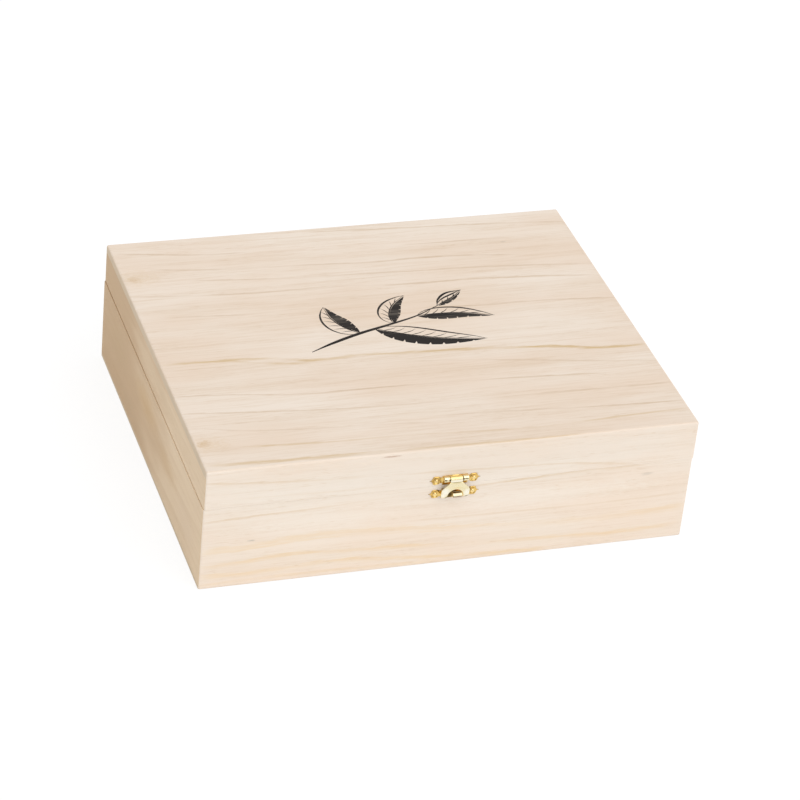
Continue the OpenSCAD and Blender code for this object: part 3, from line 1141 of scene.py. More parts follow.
@dataclass
class Hinges:
    """Two butt hinges with rolled knuckles on the back."""

    case: Case
    finishes: "Finishes"
    x: float = 85.0
    length: float = 22.0
    leaf_h: float = 10.0
    leaf_t: float = 0.8
    knuckle_r: float = 1.7
    bore_r: float = 0.84
    gap: float = 0.2
    knuckles: int = 5
    pin_r: float = 0.8
    stand: float = 1.8
    corner_r: float = 0.6
    end_dome: float = 0.15
    rim_ease: float = 0.08
    slit: float = -118.0
    screw_in: float = 3.8
    hole_r: float = 0.95
    sunk_r: float = 1.9

    @property
    def pitch(self) -> float:
        """Length of a knuckle and a gap."""
        return (self.length + self.gap) / self.knuckles

    def place(self, side: int, upper: bool) -> Matrix:
        """Brings what is drawn about the pin, with y out of the back, to a hinge."""
        spot = shift(side * self.x, self.case.depth / 2, self.case.middle_seam)
        return spot @ Matrix.Diagonal((1, 1, -1 if upper else 1, 1))

    def screw_places(self, upper: bool) -> list[Place]:
        """Places the screws of both hinges on one side of the seam.

        Args:
            upper: True for the lid's leaves.

        Returns:
            The places in millimetres.
        """
        x = self.length / 2 - self.screw_in
        z = (self.leaf_h + self.knuckle_r + self.gap) / 2 * (1 if upper else -1)
        return [
            (side * self.x + sign * x, self.case.depth / 2, self.case.middle_seam + z)
            for side in (-1, 1) for sign in (-1, 1)
        ]

    def knuckle(self) -> Mesh:
        """One knuckle rolled from the leaf's sheet, with the slit where the roll ends.

        Returns:
            The knuckle, from x = 0 on.
        """
        centre, t = (self.stand, 0.0), self.leaf_t
        foot = -self.knuckle_r - self.gap - 0.3
        section = [(t, foot), (t, -1.0), (0.92, -0.35)]
        section += arc(centre, self.bore_r, 180.0, self.slit, 22)
        section += arc(centre, self.knuckle_r, self.slit, 180.0, 28)
        section += [(0.03, -0.9), (0.0, foot)]
        return run_along_x(section, 0.0, self.pitch - self.gap, self.rim_ease)

    def plate(self) -> Mesh:
        """The flat of a leaf below the pin, with countersunk holes.

        Returns:
            The plate.
        """
        top = -self.knuckle_r - self.gap
        outline = rounded_outline(self.length, self.leaf_h + top, self.corner_r, 4)
        mesh = eased_prism(outline, 0.0, self.leaf_t, 0.02, 0.12)
        upright = Matrix(((1, 0, 0, 0), (0, 0, 1, 0), (0, -1, 0, 0), (0, 0, 0, 1)))
        mesh = moved(mesh, shift(0, 0, (top - self.leaf_h) / 2) @ upright)
        hole, sunk = self.hole_r, self.sunk_r
        bore = [(0.0, -1.0), (hole, -1.0), (hole, 0.0), (sunk, self.leaf_t + 0.06), (sunk, 2.0), (0.0, 2.0)]
        holes = []
        for sign in (-1, 1):
            spot = shift(sign * (self.length / 2 - self.screw_in), 0.0, -(self.leaf_h - top) / 2)
            holes.append(moved(turned(bore), spot @ Matrix.Rotation(-math.pi / 2, 4, "X")))
        return carved(mesh, joined(holes))

    def build(self, fasteners: Tree) -> None:
        """Makes leaves, pins and screws.

        Args:
            fasteners: The tree of a row of screws.
        """
        row = Tree("knuckle_row", {
            "template": "object", "count": "count", "start": "vector", "pitch": "length",
            "material": "material",
        }, wire_knuckles)
        brass, bright = self.finishes.hinge, self.finishes.screw
        leaves = ((Body.BASE, False), (Body.LID, True))
        sides = ((-1, "left"), (1, "right"))
        with Template(self.knuckle()) as template:
            for body, upper in leaves:
                leaf = row.grown(
                    self.plate(), template=template, count=(self.knuckles + 1) // 2 - upper,
                    start=Vector((-self.length / 2 + upper * self.pitch, 0, 0)) * MM,
                    pitch=2 * self.pitch * MM, material=brass,
                )
                for side, word in sides:
                    mesh = moved(leaf.copy(), self.place(side, upper))
                    node = f"hinge_{body.value}_leaf_{word}"
                    piece(f"{body.value}_leaf_{word}", mesh, body, [node], brass, 30)
        half, r, dome = self.length / 2, self.pin_r, self.end_dome
        pin = rod([(r, half), (r * 0.7, half + dome * 0.6), (0, half + dome)], 28)
        for side, word in sides:
            mesh = moved(pin.copy(), self.place(side, False) @ shift(0, self.stand, 0))
            piece(f"hinge_rod_{word}", mesh, Body.BASE, [f"hinge_pin_{word}"], brass, 40)
        for body, upper in leaves:
            screw = Fastener(
                shank_r=0.9, head_r=1.8, length=5.0, seat=self.leaf_t, dome=0.25, slot=0.45, seed=11 + upper,
            )
            mesh = screw.set_in(fasteners, self.screw_places(upper), (-math.pi / 2, 0, 0), bright)
            node = f"hinge_{body.value}_screws"
            piece(f"{body.value}_leaf_screws", mesh, body, [node], bright, 30)


# ---- Latch --------------------------------------------------------------------------------


def slab(outline: Sequence[Point], p0: float, p1: float) -> Mesh:
    """Flat (x, z) outline made solid between two distances out of the front."""
    return lofted([[(x, p, z) for x, z in outline] for p in (p0, p1)])


def bell_curve(off: float, width: float) -> float:
    """Height of a bell curve at a distance from its middle."""
    return math.exp(-(off / width) ** 2)


@dataclass
class Latch:
    """Small swing latch: two ornamental plates, a bell-shaped hasp, a pin and four nails.

    Each of the lobes is (beyond the nail, up, radius). The rings pressed round a nail are (height,
    radius, breadth), and so is the rib, with its distance inside the shoulder as the second.
    """

    case: Case
    finishes: "Finishes"
    x: float = 0.4
    plate_t: float = 0.5
    plate_h: float = 6.2
    tip_x: float = 14.8
    shoulder_x: float = 7.2
    nail_x: float = 10.7
    shoulder_r: float = 0.5
    boss_r: float = 2.5
    lobes: tuple[Place, ...] = ((0.75, 1.35, 1.3), (-1.0, 1.45, 1.15))
    waist: float = 1.8
    spike: float = 0.75
    pressed: tuple[Place, ...] = ((0.14, 2.2, 0.35), (-0.16, 1.5, 0.35))
    rib: Place = (0.08, 0.3, 0.5)
    plate_z: float = 56.2
    catch_z: float = 47.5
    barrel_z: float = 57.6
    barrel_p: float = 1.9
    barrel_r: float = 1.7
    barrel_x: float = 7.0
    barrel_ease: float = 0.15
    notch_x: float = 3.7
    notch_drop: float = 1.9
    neck_x: float = 3.5
    hasp_p: float = 3.0
    hasp_t: float = 0.6
    foot_x: float = 8.1
    feet_z: float = 45.9
    toe_r: float = 1.2
    arch_x: float = 4.2
    arch_spring: float = 48.8
    arch_rise: float = 2.7
    foot_splay: float = 0.8
    flare_h: float = 6.0
    belly: float = 0.12
    crown: float = 0.8
    toe_bend: float = 1.6
    groove: float = 0.32
    nose_x: float = 3.7
    nose_from: float = -1.7
    nose_top: float = 49.3
    nose_p: float = 5.0
    nose_bend: float = 2.3
    nose_t: float = 0.7
    nose_ease: float = 0.12
    backing_x: float = 4.2
    backing_z: float = 56.0
    backing_t: float = 0.15
    top_drop: float = 0.45
    pin_r: float = 0.6
    voxel: float = 0.13
    rounds: int = 5

    @property
    def matrix(self) -> Matrix:
        """Brings what is drawn as (x, out, z) to the front."""
        return shift(self.x, -self.case.depth / 2, 0) @ Matrix.Diagonal((1, -1, 1, 1))

    def fused(self, parts: Iterable[Mesh]) -> Mesh:
        """Melts solids into one skin and softens its edges, as stamping and plating do.

        Args:
            parts: The solids.

        Returns:
            The skin.
        """
        remesh = {"mode": "VOXEL", "voxel_size": self.voxel * MM, "adaptivity": 0.0}
        smooth = {"factor": 0.5, "iterations": self.rounds}
        return settled(joined(parts), ("REMESH", remesh), ("SMOOTH", smooth))

    def plate_parts(self, z: float) -> list[Mesh]:
        """Solids of an ornamental plate: shoulders, two ears with a nail boss, lobes, a waist and spikes.

        Args:
            z: Height of its middle.

        Returns:
            The solids, with the shoulders first.
        """
        outlines = [rounded_outline(2 * self.shoulder_x, self.plate_h, self.shoulder_r, 4)]
        for side in (-1, 1):
            inner, nail = side * self.shoulder_x / 2, side * self.nail_x
            rounds = [(nail, 0, self.boss_r)]
            for along, up, r in self.lobes:
                rounds += [(side * (self.nail_x + along), v * up, r) for v in (-1, 1)]
            outlines += [arc((x, v), r, 0, 345, 23) for x, v, r in rounds]
            outlines.append(rectangle(inner, -self.waist, nail, self.waist))
            outlines.append([(nail, -self.spike), (side * self.tip_x, 0), (nail, self.spike)])
        return [slab([(x, v + z) for x, v in outline], 0.0, self.plate_t) for outline in outlines]

    def raised(self, mesh: Mesh, z: float) -> Mesh:
        """Presses the relief into a plate: a dish and a rim round each nail, ribs at the shoulders.

        Args:
            mesh: The plate, which is changed.
            z: Height of its middle.

        Returns:
            The same mesh.
        """
        rib, inside, broad = self.rib
        for vertex in mesh.vertices:
            x, p, up = vertex.co.x / MM, vertex.co.y / MM, vertex.co.z / MM - z
            if 0.2 < p < self.plate_t + 0.15:
                far = math.hypot(abs(x) - self.nail_x, up)
                lift = sum(height * bell_curve(far - at, wide) for height, at, wide in self.pressed)
                lift += rib * bell_curve(abs(x) - self.shoulder_x + inside, broad)
                vertex.co.y += lift * MM
        return mesh

    def tube(self, x0: float, x1: float) -> Mesh:
        """A rolled knuckle from x0 to x1."""
        section = arc((self.barrel_p, self.barrel_z), self.barrel_r, 0, 352.5, 47)
        return run_along_x(section, x0, x1, self.barrel_ease)

    def nose(self) -> Mesh:
        """The catch's tongue: out of the plate's upper edge, then over and down.

        Returns:
            The tongue.
        """
        centre = (self.nose_p - self.nose_bend, self.nose_top - self.nose_bend)
        outer, inner = self.nose_bend, self.nose_bend - self.nose_t
        section = [(0.0, self.nose_top - self.nose_t), (centre[0], self.nose_top - self.nose_t)]
        section += arc(centre, inner, 90, 0, 12) + arc(centre, outer, 0, 90, 14) + [(0.0, self.nose_top)]
        return run_along_x(section, self.nose_from, self.nose_x, self.nose_ease)

    def hasp_outline(self) -> list[Point]:
        """Half-turned bell round an arch, counter-clockwise.

        Returns:
            Its corners as (x, z).
        """
        flare_top, steps = self.barrel_z - self.barrel_r + 0.1, 14
        right = []
        for step in range(steps + 1):
            t = step / steps
            x = self.neck_x + (self.foot_x - self.neck_x) * math.sin(math.pi / 2 * t) ** 1.15
            right.append((x, flare_top - self.flare_h * t))
        toe = arc((self.foot_x - self.toe_r, self.feet_z + self.toe_r), self.toe_r, 0, -90, 5)
        radius = (self.arch_x ** 2 + self.arch_rise ** 2) / (2 * self.arch_rise)
        crown = self.arch_spring + self.arch_rise - radius
        lean = math.degrees(math.atan2(self.arch_spring - crown, self.arch_x))
        half = [(self.neck_x, self.barrel_z), *right, *toe, (self.arch_x + self.foot_splay, self.feet_z)]
        arch = arc((0.0, crown), radius, lean, 180 - lean, 16)
        left = [(-x, z) for x, z in reversed(half)]
        return list(reversed([*half, *arch, *left]))

    def hasp(self) -> Mesh:
        """The bell hangs from its knuckle below a groove, crowned across and with its toes bent in.

        Returns:
            The hasp.
        """
        flat = slab(self.hasp_outline(), self.hasp_p, self.hasp_p + self.hasp_t)
        mesh = self.fused([flat, self.tube(-self.neck_x, self.neck_x)])
        under = self.barrel_z - self.barrel_r
        for vertex in mesh.vertices:
            x, p, z = (part / MM for part in vertex.co)
            down = (under - z) / (under - self.feet_z)
            if p > self.hasp_p - self.hasp_t:
                vertex.co.y -= self.groove * bell_curve(z - under + 0.05, 0.3) * MM
            if down > 0.0:
                belly = self.belly * math.sin(math.pi * min(1.0, down) ** 1.4)
                toe = self.toe_bend * max(0.0, down - 0.75) ** 2
                vertex.co.y += (belly - toe - self.crown * down * (x / self.foot_x) ** 2) * MM
        return mesh

    def upper_plate(self) -> Mesh:
        """The lid's plate: notched for the hasp, sheared off at the top, with its two knuckles.

        Returns:
            The plate.
        """
        top = self.barrel_z + self.barrel_r - self.top_drop
        foot = self.barrel_z - self.notch_drop
        shoulders, *ears = self.plate_parts(self.plate_z)
        notch = rectangle(-self.notch_x, foot, self.notch_x, self.barrel_z + 4)
        for cut in (notch, rectangle(-9.0, top, 9.0, top + 2.0)):
            shoulders = carved(shoulders, slab(cut, -1.0, 2.0))
        tubes = [self.tube(-self.barrel_x, -self.notch_x), self.tube(self.notch_x, self.barrel_x)]
        plate = self.raised(self.fused([shoulders, *ears, *tubes]), self.plate_z)
        backing = rectangle(-self.backing_x, self.backing_z, self.backing_x, top)
        return joined([plate, slab(backing, 0.02, self.backing_t)])

    def rivet(self) -> Mesh:
        """The pin through the knuckles, with upset ends.

        Returns:
            The pin.
        """
        r, half = self.pin_r, self.barrel_x
        end = [(r, half - 0.1), (r * 1.35, half - 0.05), (r * 1.1, half + 0.2), (0, half + 0.3)]
        return moved(rod(end, 24), shift(0, self.barrel_p, self.barrel_z))

    def build(self, fasteners: Tree) -> None:
        """Makes the plates, the hasp, the pin and the nails.

        Args:
            fasteners: The tree of a row of nails.
        """
        gold, bell = self.finishes.latch, self.finishes.bell
        catch = self.raised(self.fused([*self.plate_parts(self.catch_z), self.nose()]), self.catch_z)
        for name, mesh, body, node, metal, smooth in (
            ("latch_keeper", catch, Body.BASE, "latch_catch", gold, 180),
            ("latch_upper_plate", self.upper_plate(), Body.LID, "latch_plate", gold, 180),
            ("latch_bell", self.hasp(), Body.HASP, "latch_hasp", bell, 180),
            ("latch_rod", self.rivet(), Body.LID, "latch_pin", gold, 40),
        ):
            piece(name, moved(mesh, self.matrix), body, [node], metal, smooth)
        nail = Fastener(shank_r=0.5, head_r=1.15, length=5.0, seat=self.plate_t + 0.12, dome=0.62, seed=3)
        brass = self.finishes.nail
        rows = ((Body.BASE, self.catch_z, "catch_nails"), (Body.LID, self.plate_z, "latch_nails"))
        for body, z, node in rows:
            places = [(self.x + side * self.nail_x, -self.case.depth / 2, z) for side in (-1, 1)]
            mesh = nail.set_in(fasteners, places, (math.pi / 2, 0, 0), brass)
            piece(f"{body.value}_latch_nails", mesh, body, [node], brass, 50)


# ---- Printed sprig ------------------------------------------------------------------------


@dataclass
class Sprig:
    """A tea sprig printed in dark ink in the middle of the lid: a stem, leaves and a bud."""

    case: Case
    finishes: "Finishes"
    lift: float = 0.004
    layer: float = 0.0008
    samples: int = 28

    def __post_init__(self) -> None:
        """Starts with nothing drawn."""
        self.vertices: list[Place] = []
        self.faces: list[tuple[int, ...]] = []
        self.marks = 0

    def spine(self, points: Sequence[Point]) -> list[Vector]:
        """A smooth line through points.

        Args:
            points: The points.

        Returns:
            Points close together along the line.
        """
        knots = [Vector(point) for point in points]
        knots = [2 * knots[0] - knots[1], *knots, 2 * knots[-1] - knots[-2]]
        result = []
        for a, b, c, d in zip(knots, knots[1:], knots[2:], knots[3:]):
            for step in range(self.samples):
                t = step / self.samples
                result.append(0.5 * (2 * b + (c - a) * t + (2 * a - 5 * b + 4 * c - d) * t ** 2
                                     + (3 * b - a - 3 * c + d) * t ** 3))
        return [*result, knots[-2]]

    def band(self, points: Sequence[Point], left: Width, right: Width) -> None:
        """Draws a band along a smooth line.

        Args:
            points: Points that the line goes through.
            left: Width to its left, by the share of the way along.
            right: Width to its right, by the share of the way along.
        """
        line = self.spine(points)
        z = self.case.height - self.case.top_sink + self.lift + self.layer * self.marks
        self.marks += 1
        first = len(self.vertices)
        for here, point in enumerate(line):
            t = here / (len(line) - 1)
            ahead = line[min(here + 1, len(line) - 1)] - line[max(here - 1, 0)]
            normal = Vector((-ahead.y, ahead.x)).normalized()
            for width in (left(t), -right(t)):
                edge = point + normal * width
                self.vertices.append((edge.x, edge.y, z))
        self.faces += [(k, k + 1, k + 3, k + 2) for k in range(first, len(self.vertices) - 3, 2)]

    def stroke(self, points: Sequence[Point], thick: float, thin: float = 0.12, belly: float = 0.5) -> None:
        """Draws a pen stroke that swells and thins again.

        Args:
            points: Points that it goes through.
            thick: Its width where it is thickest.
            thin: Its width at its ends.
            belly: Share of its length at which it is thickest.
        """
        def half(t: float) -> float:
            """Half of the stroke's width."""
            share = t / belly if t < belly else (1 - t) / (1 - belly)
            return (thin + (thick - thin) * math.sin(math.pi / 2 * share) ** 1.5) / 2
        self.band(points, half, half)

    def leaf(self, rib: Sequence[Point], wide: float, veins: int) -> None:
        """Draws a leaf about its rib: one half in solid ink between its veins, one half in outline.

        Args:
            rib: Points of the rib, from the stalk to the tip.
            wide: Half of the leaf's width.
            veins: Number of veins on each half.
        """
        def swell(t: float) -> float:
            """Half of the leaf's width at a share of its length."""
            return wide * math.sin(math.pi * t ** 0.82) ** 0.85 if 0 < t < 1 else 0.0

        def notched(t: float) -> float:
            """The inked half, cut by pale veins that lean towards the tip."""
            gap = 0.5 - abs((t * veins) % 1.0 - 0.5)
            return max(0.56, swell(t) * (1.0 if gap > 0.07 else 0.72))

        self.stroke(rib, 1.1, 0.25, 0.25)
        self.band(rib, lambda t: -0.55, notched)
        line = self.spine(rib)
        edge = []
        for share in range(13):
            t = share / 12
            here = min(len(line) - 2, int(t * (len(line) - 1)))
            ahead = (line[here + 1] - line[max(0, here - 1)]).normalized()
            edge.append(tuple(line[here] + Vector((-ahead.y, ahead.x)) * swell(t)))
        self.stroke(edge, 1.3, 0.3, 0.62)
        for vein in range(1, veins):
            t = vein / veins
            here = int(t * 0.86 * (len(line) - 1))
            there = min(len(line) - 2, int((t * 0.86 + 0.13) * (len(line) - 1)))
            ahead = (line[there + 1] - line[there - 1]).normalized()
            root = line[here]
            tip = line[there] + Vector((-ahead.y, ahead.x)) * swell(there / (len(line) - 1)) * 0.82
            middle = (root + tip) / 2 + (line[there] - root) * 0.12
            self.stroke([tuple(root), tuple(middle), tuple(tip)], 0.55, 0.12, 0.3)

    def build(self) -> None:
        """Draws the sprig and hangs it on the lid."""
        self.stroke([(-52, -14), (-38, -7), (-20, 0.5), (0, 7), (18, 13.5), (33, 22)], 2.4, 0.6, 0.3)
        self.leaf([(-20, 0.5), (-27.5, 9), (-32, 19), (-33, 31)], 7.5, 7)
        self.leaf([(-10, 4), (6, -4.5), (26, -11.5), (51, -16)], 8.5, 9)
        self.leaf([(2, 7.8), (2.5, 17), (7.5, 27), (17, 36)], 6.5, 7)
        self.leaf([(18, 13.5), (31, 13.8), (46, 12.5), (63, 7)], 6.2, 7)
        self.leaf([(33, 22), (39, 26), (45.5, 30.5), (52, 36.5)], 2.9, 4)
        self.stroke([(33, 22), (35.5, 28.5), (42, 34.5), (52, 36.5)], 1.6, 0.35, 0.6)
        mesh = mesh_from(self.vertices, self.faces)
        for polygon in mesh.polygons:
            if polygon.normal.z < 0:
                polygon.flip()
        piece("printed_sprig", mesh, Body.LID, [], self.finishes.ink)


# ---- Finishes -----------------------------------------------------------------------------


@dataclass(frozen=True)
class GrainLine:
    """A growth line that shows: (along, across) points in millimetres, width and strength."""

    points: tuple[Point, ...]
    width: float
    strength: float
    colour: Colour = (0.61, 0.45, 0.30)


@dataclass(frozen=True)
class Patch:
    """A knot, fleck or stain, or a patch of painted highlight, reflection or shade: its middle and reach in
    millimetres, its strength and colour.
    """

    middle: Point
    reach: Point
    strength: float
    colour: Colour
    rings: float = 0.0
    ragged: float = 1.1

    def mask(self, bench: Bench, effects: "Effects", place: Socket) -> Socket:
        """Places its mask in a material.

        Args:
            bench: Bench of the material's tree.
            effects: The shared shader groups.
            place: Where the material is read, as (along, across, into).

        Returns:
            The mask.
        """
        return effects.smudge.place(
            bench, place=place, at_along=self.middle[0] * MM, at_across=self.middle[1] * MM,
            reach_along=self.reach[0] * MM, reach_across=self.reach[1] * MM,
            strength=self.strength, rings=self.rings, ragged=self.ragged,
        )["mask"]


class Effects:
    """The shader groups that the materials share."""

    def __init__(self) -> None:
        """Builds every group once."""
        self.rings = Effect("growth_rings", {
            "place": ORIGIN, "pitch": 0.014, "sway": 0.01, "slope": 0.07,
            "pith_across": 0.0, "pith_depth": -0.09, "seed": 1.0,
        }, ("line", "step"), wire_growth_rings)
        self.fibre = Effect("fibre", {"place": ORIGIN, "seed": 1.0}, ("streak", "pores", "tone"), wire_fibre)
        self.stroke = Effect("grain_stroke", {
            "place": ORIGIN, "off": 0.0, "width": 0.002, "strength": 0.5,
        }, ("mask",), wire_stroke)
        self.smudge = Effect("smudge", {
            "place": ORIGIN, "at_along": 0.0, "at_across": 0.0, "reach_along": 0.005, "reach_across": 0.003,
            "strength": 0.5, "rings": 0.0, "ragged": 1.0,
        }, ("mask",), wire_patch)
        self.edges = Effect("box_edges", {
            "place": ORIGIN, "middle": ORIGIN, "half": (0.1, 0.1, 0.1), "reach": 0.002,
        }, ("mask",), wire_box_edges)
        self.metal = Effect("handled_metal", {
            "place": ORIGIN, "tarnish": 0.3, "rough": 0.2, "rubs": 0.05,
        }, ("tarnish", "rough", "height"), wire_handled_metal)


def started(name: str, **constants: object) -> tuple[Material, Bench, bpy.types.Node]:
    """Starts a material.

    Args:
        name: Name of the material.
        constants: Values set on the shader's own sockets, by name with _ for a space.

    Returns:
        The material, the bench of its tree and its shader.
    """
    material = bpy.data.materials.new(name)
    material.use_nodes = True
    bench = Bench(material.node_tree)
    shader = material.node_tree.nodes["Principled BSDF"]
    for key, value in constants.items():
        shader.inputs[key.replace("_", " ")].default_value = value
    return material, bench, shader


def surfaced(
    bench: Bench, shader: bpy.types.Node, colour: Socket, rough: Source, height: Socket, depth: float,
) -> None:
    """Feeds a shader's colour, roughness and bumps.

    Args:
        bench: Bench of the material's tree.
        shader: The shader.
        colour: Its colour.
        rough: Its roughness, or None for the one it has.
        height: Height of the bumps, from 0 to 1.
        depth: Their depth in millimetres.
    """
    bump = bench.fitted("ShaderNodeBump", {"Strength": 1.0, "Distance": depth * MM, "Height": height})
    for key, source in (("Base Color", colour), ("Roughness", rough), ("Normal", bump.outputs[0])):
        bench.feed(shader.inputs[key], source)


@dataclass(frozen=True)
class Wood:
    """Raw sanded wood of one board, with the grain lines and smudges that show on it."""

    name: str
    grain: Grain
    pale: Colour = (0.85, 0.735, 0.60)
    warm: Colour = (0.80, 0.66, 0.50)
    late: Colour = (0.64, 0.46, 0.29)
    lines: tuple[GrainLine, ...] = ()
    smudges: tuple[Patch, ...] = ()
    pitch: float = 14.0
    sway: float = 10.0
    slope: float = 0.07
    pith: Point = (0.0, -90.0)
    ring_share: float = 0.45
    streak_share: float = 0.5
    line_share: float = 1.0
    seed: float = 1.0
    drift: float = 0.0
    end_tone: Colour = (0.73, 0.58, 0.405)
    end_dark: float = 0.85
    end_share: float = 0.8
    pore_share: float = 0.32
    # How strongly and how far in the outer edges are darkened with painted shade.
    edge_shade_share: float = 0.3
    edge_shade_reach: float = 1.6
    relief: float = 0.05
    curve_span: float = 300.0
    fade_out: float = 6.0
    fade_in: float = 10.0

    def oriented(self, bench: Bench, vector: Socket) -> Socket:
        """Turns a vector so that its parts run along, across and into the board."""
        parts = dict(zip("XYZ", bench.split(vector)))
        return bench.vector(*(parts[axis] for axis in self.grain.value))

    def material(self, effects: Effects, case: Case) -> Material:
        """Builds the material.

        Args:
            effects: The shared shader groups.
            case: Sizes of the case, for its edges.

        Returns:
            The finished material.
        """
        made, bench, shader = started(self.name, IOR=1.45, Specular_IOR_Level=0.35)
        here = bench.node("ShaderNodeTexCoord")
        place = self.oriented(bench, here.outputs["Object"])
        facing = self.oriented(bench, here.outputs["Normal"])
        fibre = effects.fibre.place(bench, place=place, seed=self.seed)
        rings = effects.rings.place(
            bench, place=place, pitch=self.pitch * MM, sway=self.sway * MM, slope=self.slope,
            pith_across=self.pith[0] * MM, pith_depth=self.pith[1] * MM, seed=self.seed,
        )
        along, _, _ = bench.split(place)
        drift = bench.product(along, self.drift / case.width / MM)
        tone = bench.ramp(bench.total(fibre["tone"], drift), 0.3, 0.7)
        colour = bench.mix(tone, self.pale, self.warm)
        streak = bench.product(bench.ramp(fibre["streak"], 0.42, 0.68), self.streak_share * 0.42)
        colour = bench.mix(streak, colour, self.late)
        marks = bench.product(bench.total(rings["line"], bench.product(rings["step"], 0.12)), self.ring_share)
        colour = bench.mix(marks, colour, self.late)
        for line, mask in zip(self.lines, self.line_masks(bench, effects, place)):
            colour = bench.mix(mask, colour, line.colour)
            marks = bench.total(marks, mask)
        for smudge in self.smudges:
            colour = bench.mix(smudge.mask(bench, effects, place), colour, smudge.colour)
        colour = bench.mix(bench.product(fibre["pores"], self.pore_share), colour, self.late)
        along_face, _, _ = bench.split(facing)
        end = bench.ramp(bench.math("ABSOLUTE", along_face), 0.55, 0.85)
        dark = tuple(part * self.end_dark for part in self.end_tone)
        end_tone = bench.mix(bench.math("MINIMUM", bench.total(rings["line"], 0.5), 1.0), self.end_tone, dark)
        colour = bench.mix(bench.product(end, self.end_share), colour, end_tone)
        half = tuple(length / 2 * MM for length in (case.width, case.depth, case.height))
        edges = effects.edges.place(
            bench, place=here.outputs["Object"], middle=(0.0, 0.0, half[2]), half=half,
            reach=self.edge_shade_reach * MM,
        )["mask"]
        # Painted shade: the outer edges are mixed towards the warm tone, which darkens the highlight on their
        # rounding.
        colour = bench.mix(bench.product(edges, self.edge_shade_share), colour, self.warm)
        rough = bench.total(0.6, bench.product(fibre["streak"], 0.16), bench.product(marks, -0.06))
        pores = bench.product(fibre["pores"], -0.8)
        height = bench.total(fibre["streak"], pores, bench.product(marks, 0.25))
        surfaced(bench, shader, colour, rough, height, self.relief)
        LOG.info("material %s: %d grain lines, %d smudges", self.name, len(self.lines), len(self.smudges))
        return made

    def line_masks(self, bench: Bench, effects: Effects, place: Socket) -> list[Socket]:
        """Places one stroke for each grain line that shows.

        Args:
            bench: Bench of the material's tree.
            effects: The shared shader groups.
            place: Where the material is read, as (along, across, into).

        Returns:
            The mask of each line.
        """
        if not self.lines:
            return []
        along, across, _ = bench.split(place)
        span = self.curve_span * MM
        share = bench.total(bench.math("DIVIDE", along, span), 0.5)
        masks = []
        for line in self.lines:
            path = [(x / self.curve_span + 0.5, y / self.curve_span + 0.5) for x, y in line.points]
            centre = bench.product(bench.centred(bench.curve(share, path)), span)
            first, last = line.points[0][0] * MM, line.points[-1][0] * MM
            fade = bench.product(
                bench.ramp(along, first - self.fade_out * MM, first + self.fade_in * MM),
                bench.fall(along, last - self.fade_in * MM, last + self.fade_out * MM),
            )
            masks.append(effects.stroke.place(
                bench, place=place, off=bench.gap(across, centre), width=line.width * MM,
                strength=bench.product(fade, line.strength * self.line_share),
            )["mask"])
        return masks


@dataclass(frozen=True)
class Brass:
    """Plated brass with handling marks, and patches of painted highlight, reflection and shade where it has
    them.
    """

    name: str
    bright: Colour
    dull: Colour
    rough: float
    tarnish: float
    rubs: float
    relief: float
    proud: Colour | None = None
    proud_from: Point = (-119.2, -120.3)
    # Patches of painted highlight, reflection and shade where it stands out of the front, and of painted
    # shade where it lies flat.
    smudges: tuple[Patch, ...] = ()
    flat_shade: tuple[Patch, ...] = ()

    def material(self, effects: Effects) -> Material:
        """Builds the material: paler where it stands out of the front, with patches of painted light and
        shade there, and patches of painted shade where it lies flat.

        Args:
            effects: The shared shader groups.

        Returns:
            The finished material.
        """
        made, bench, shader = started(self.name, Metallic=1.0)
        place = bench.node("ShaderNodeTexCoord").outputs["Object"]
        worn = effects.metal.place(bench, place=place, tarnish=self.tarnish, rough=self.rough, rubs=self.rubs)
        colour = bench.mix(worn["tarnish"], self.bright, self.dull)
        if self.proud:
            across, depth, height = bench.split(place)
            near, far = (edge * MM for edge in self.proud_from)
            out = bench.fall(depth, far, near)
            clean = bench.total(1.0, bench.product(worn["tarnish"], -0.5))
            colour = bench.mix(bench.product(out, clean), colour, self.proud)
            upright = bench.vector(across, height, depth)
            # Patches of painted highlight, reflection and shade: the first set where the metal stands out,
            # the second where it lies flat.
            for smudges, where in ((self.smudges, out), (self.flat_shade, bench.gap(1.0, out))):
                for smudge in smudges:
                    mask = bench.product(smudge.mask(bench, effects, upright), where)
                    colour = bench.mix(mask, colour, smudge.colour)
        surfaced(bench, shader, colour, worn["rough"], worn["height"], self.relief)
        return made


@dataclass(frozen=True)
class Ink:
    """Dark printing ink, worn thin along the fibres below it."""

    name: str = "printing_ink"
    full: Colour = (0.017, 0.0135, 0.0115)
    thin: Colour = (0.1, 0.085, 0.07)
    relief: float = 0.05
    seed: float = 1.0

    def material(self, effects: Effects) -> Material:
        """Builds the material.

        Args:
            effects: The shared shader groups.

        Returns:
            The finished material.
        """
        made, bench, shader = started(self.name, Roughness=0.7, Specular_IOR_Level=0.2)
        place = bench.node("ShaderNodeTexCoord").outputs["Object"]
        fibre = effects.fibre.place(bench, place=place, seed=self.seed)
        worn = bench.total(bench.product(fibre["streak"], 0.7), bench.product(fibre["tone"], 0.3))
        colour = bench.mix(bench.ramp(worn, 0.5, 0.64), self.full, self.thin)
        surfaced(bench, shader, colour, None, fibre["streak"], self.relief)
        return made


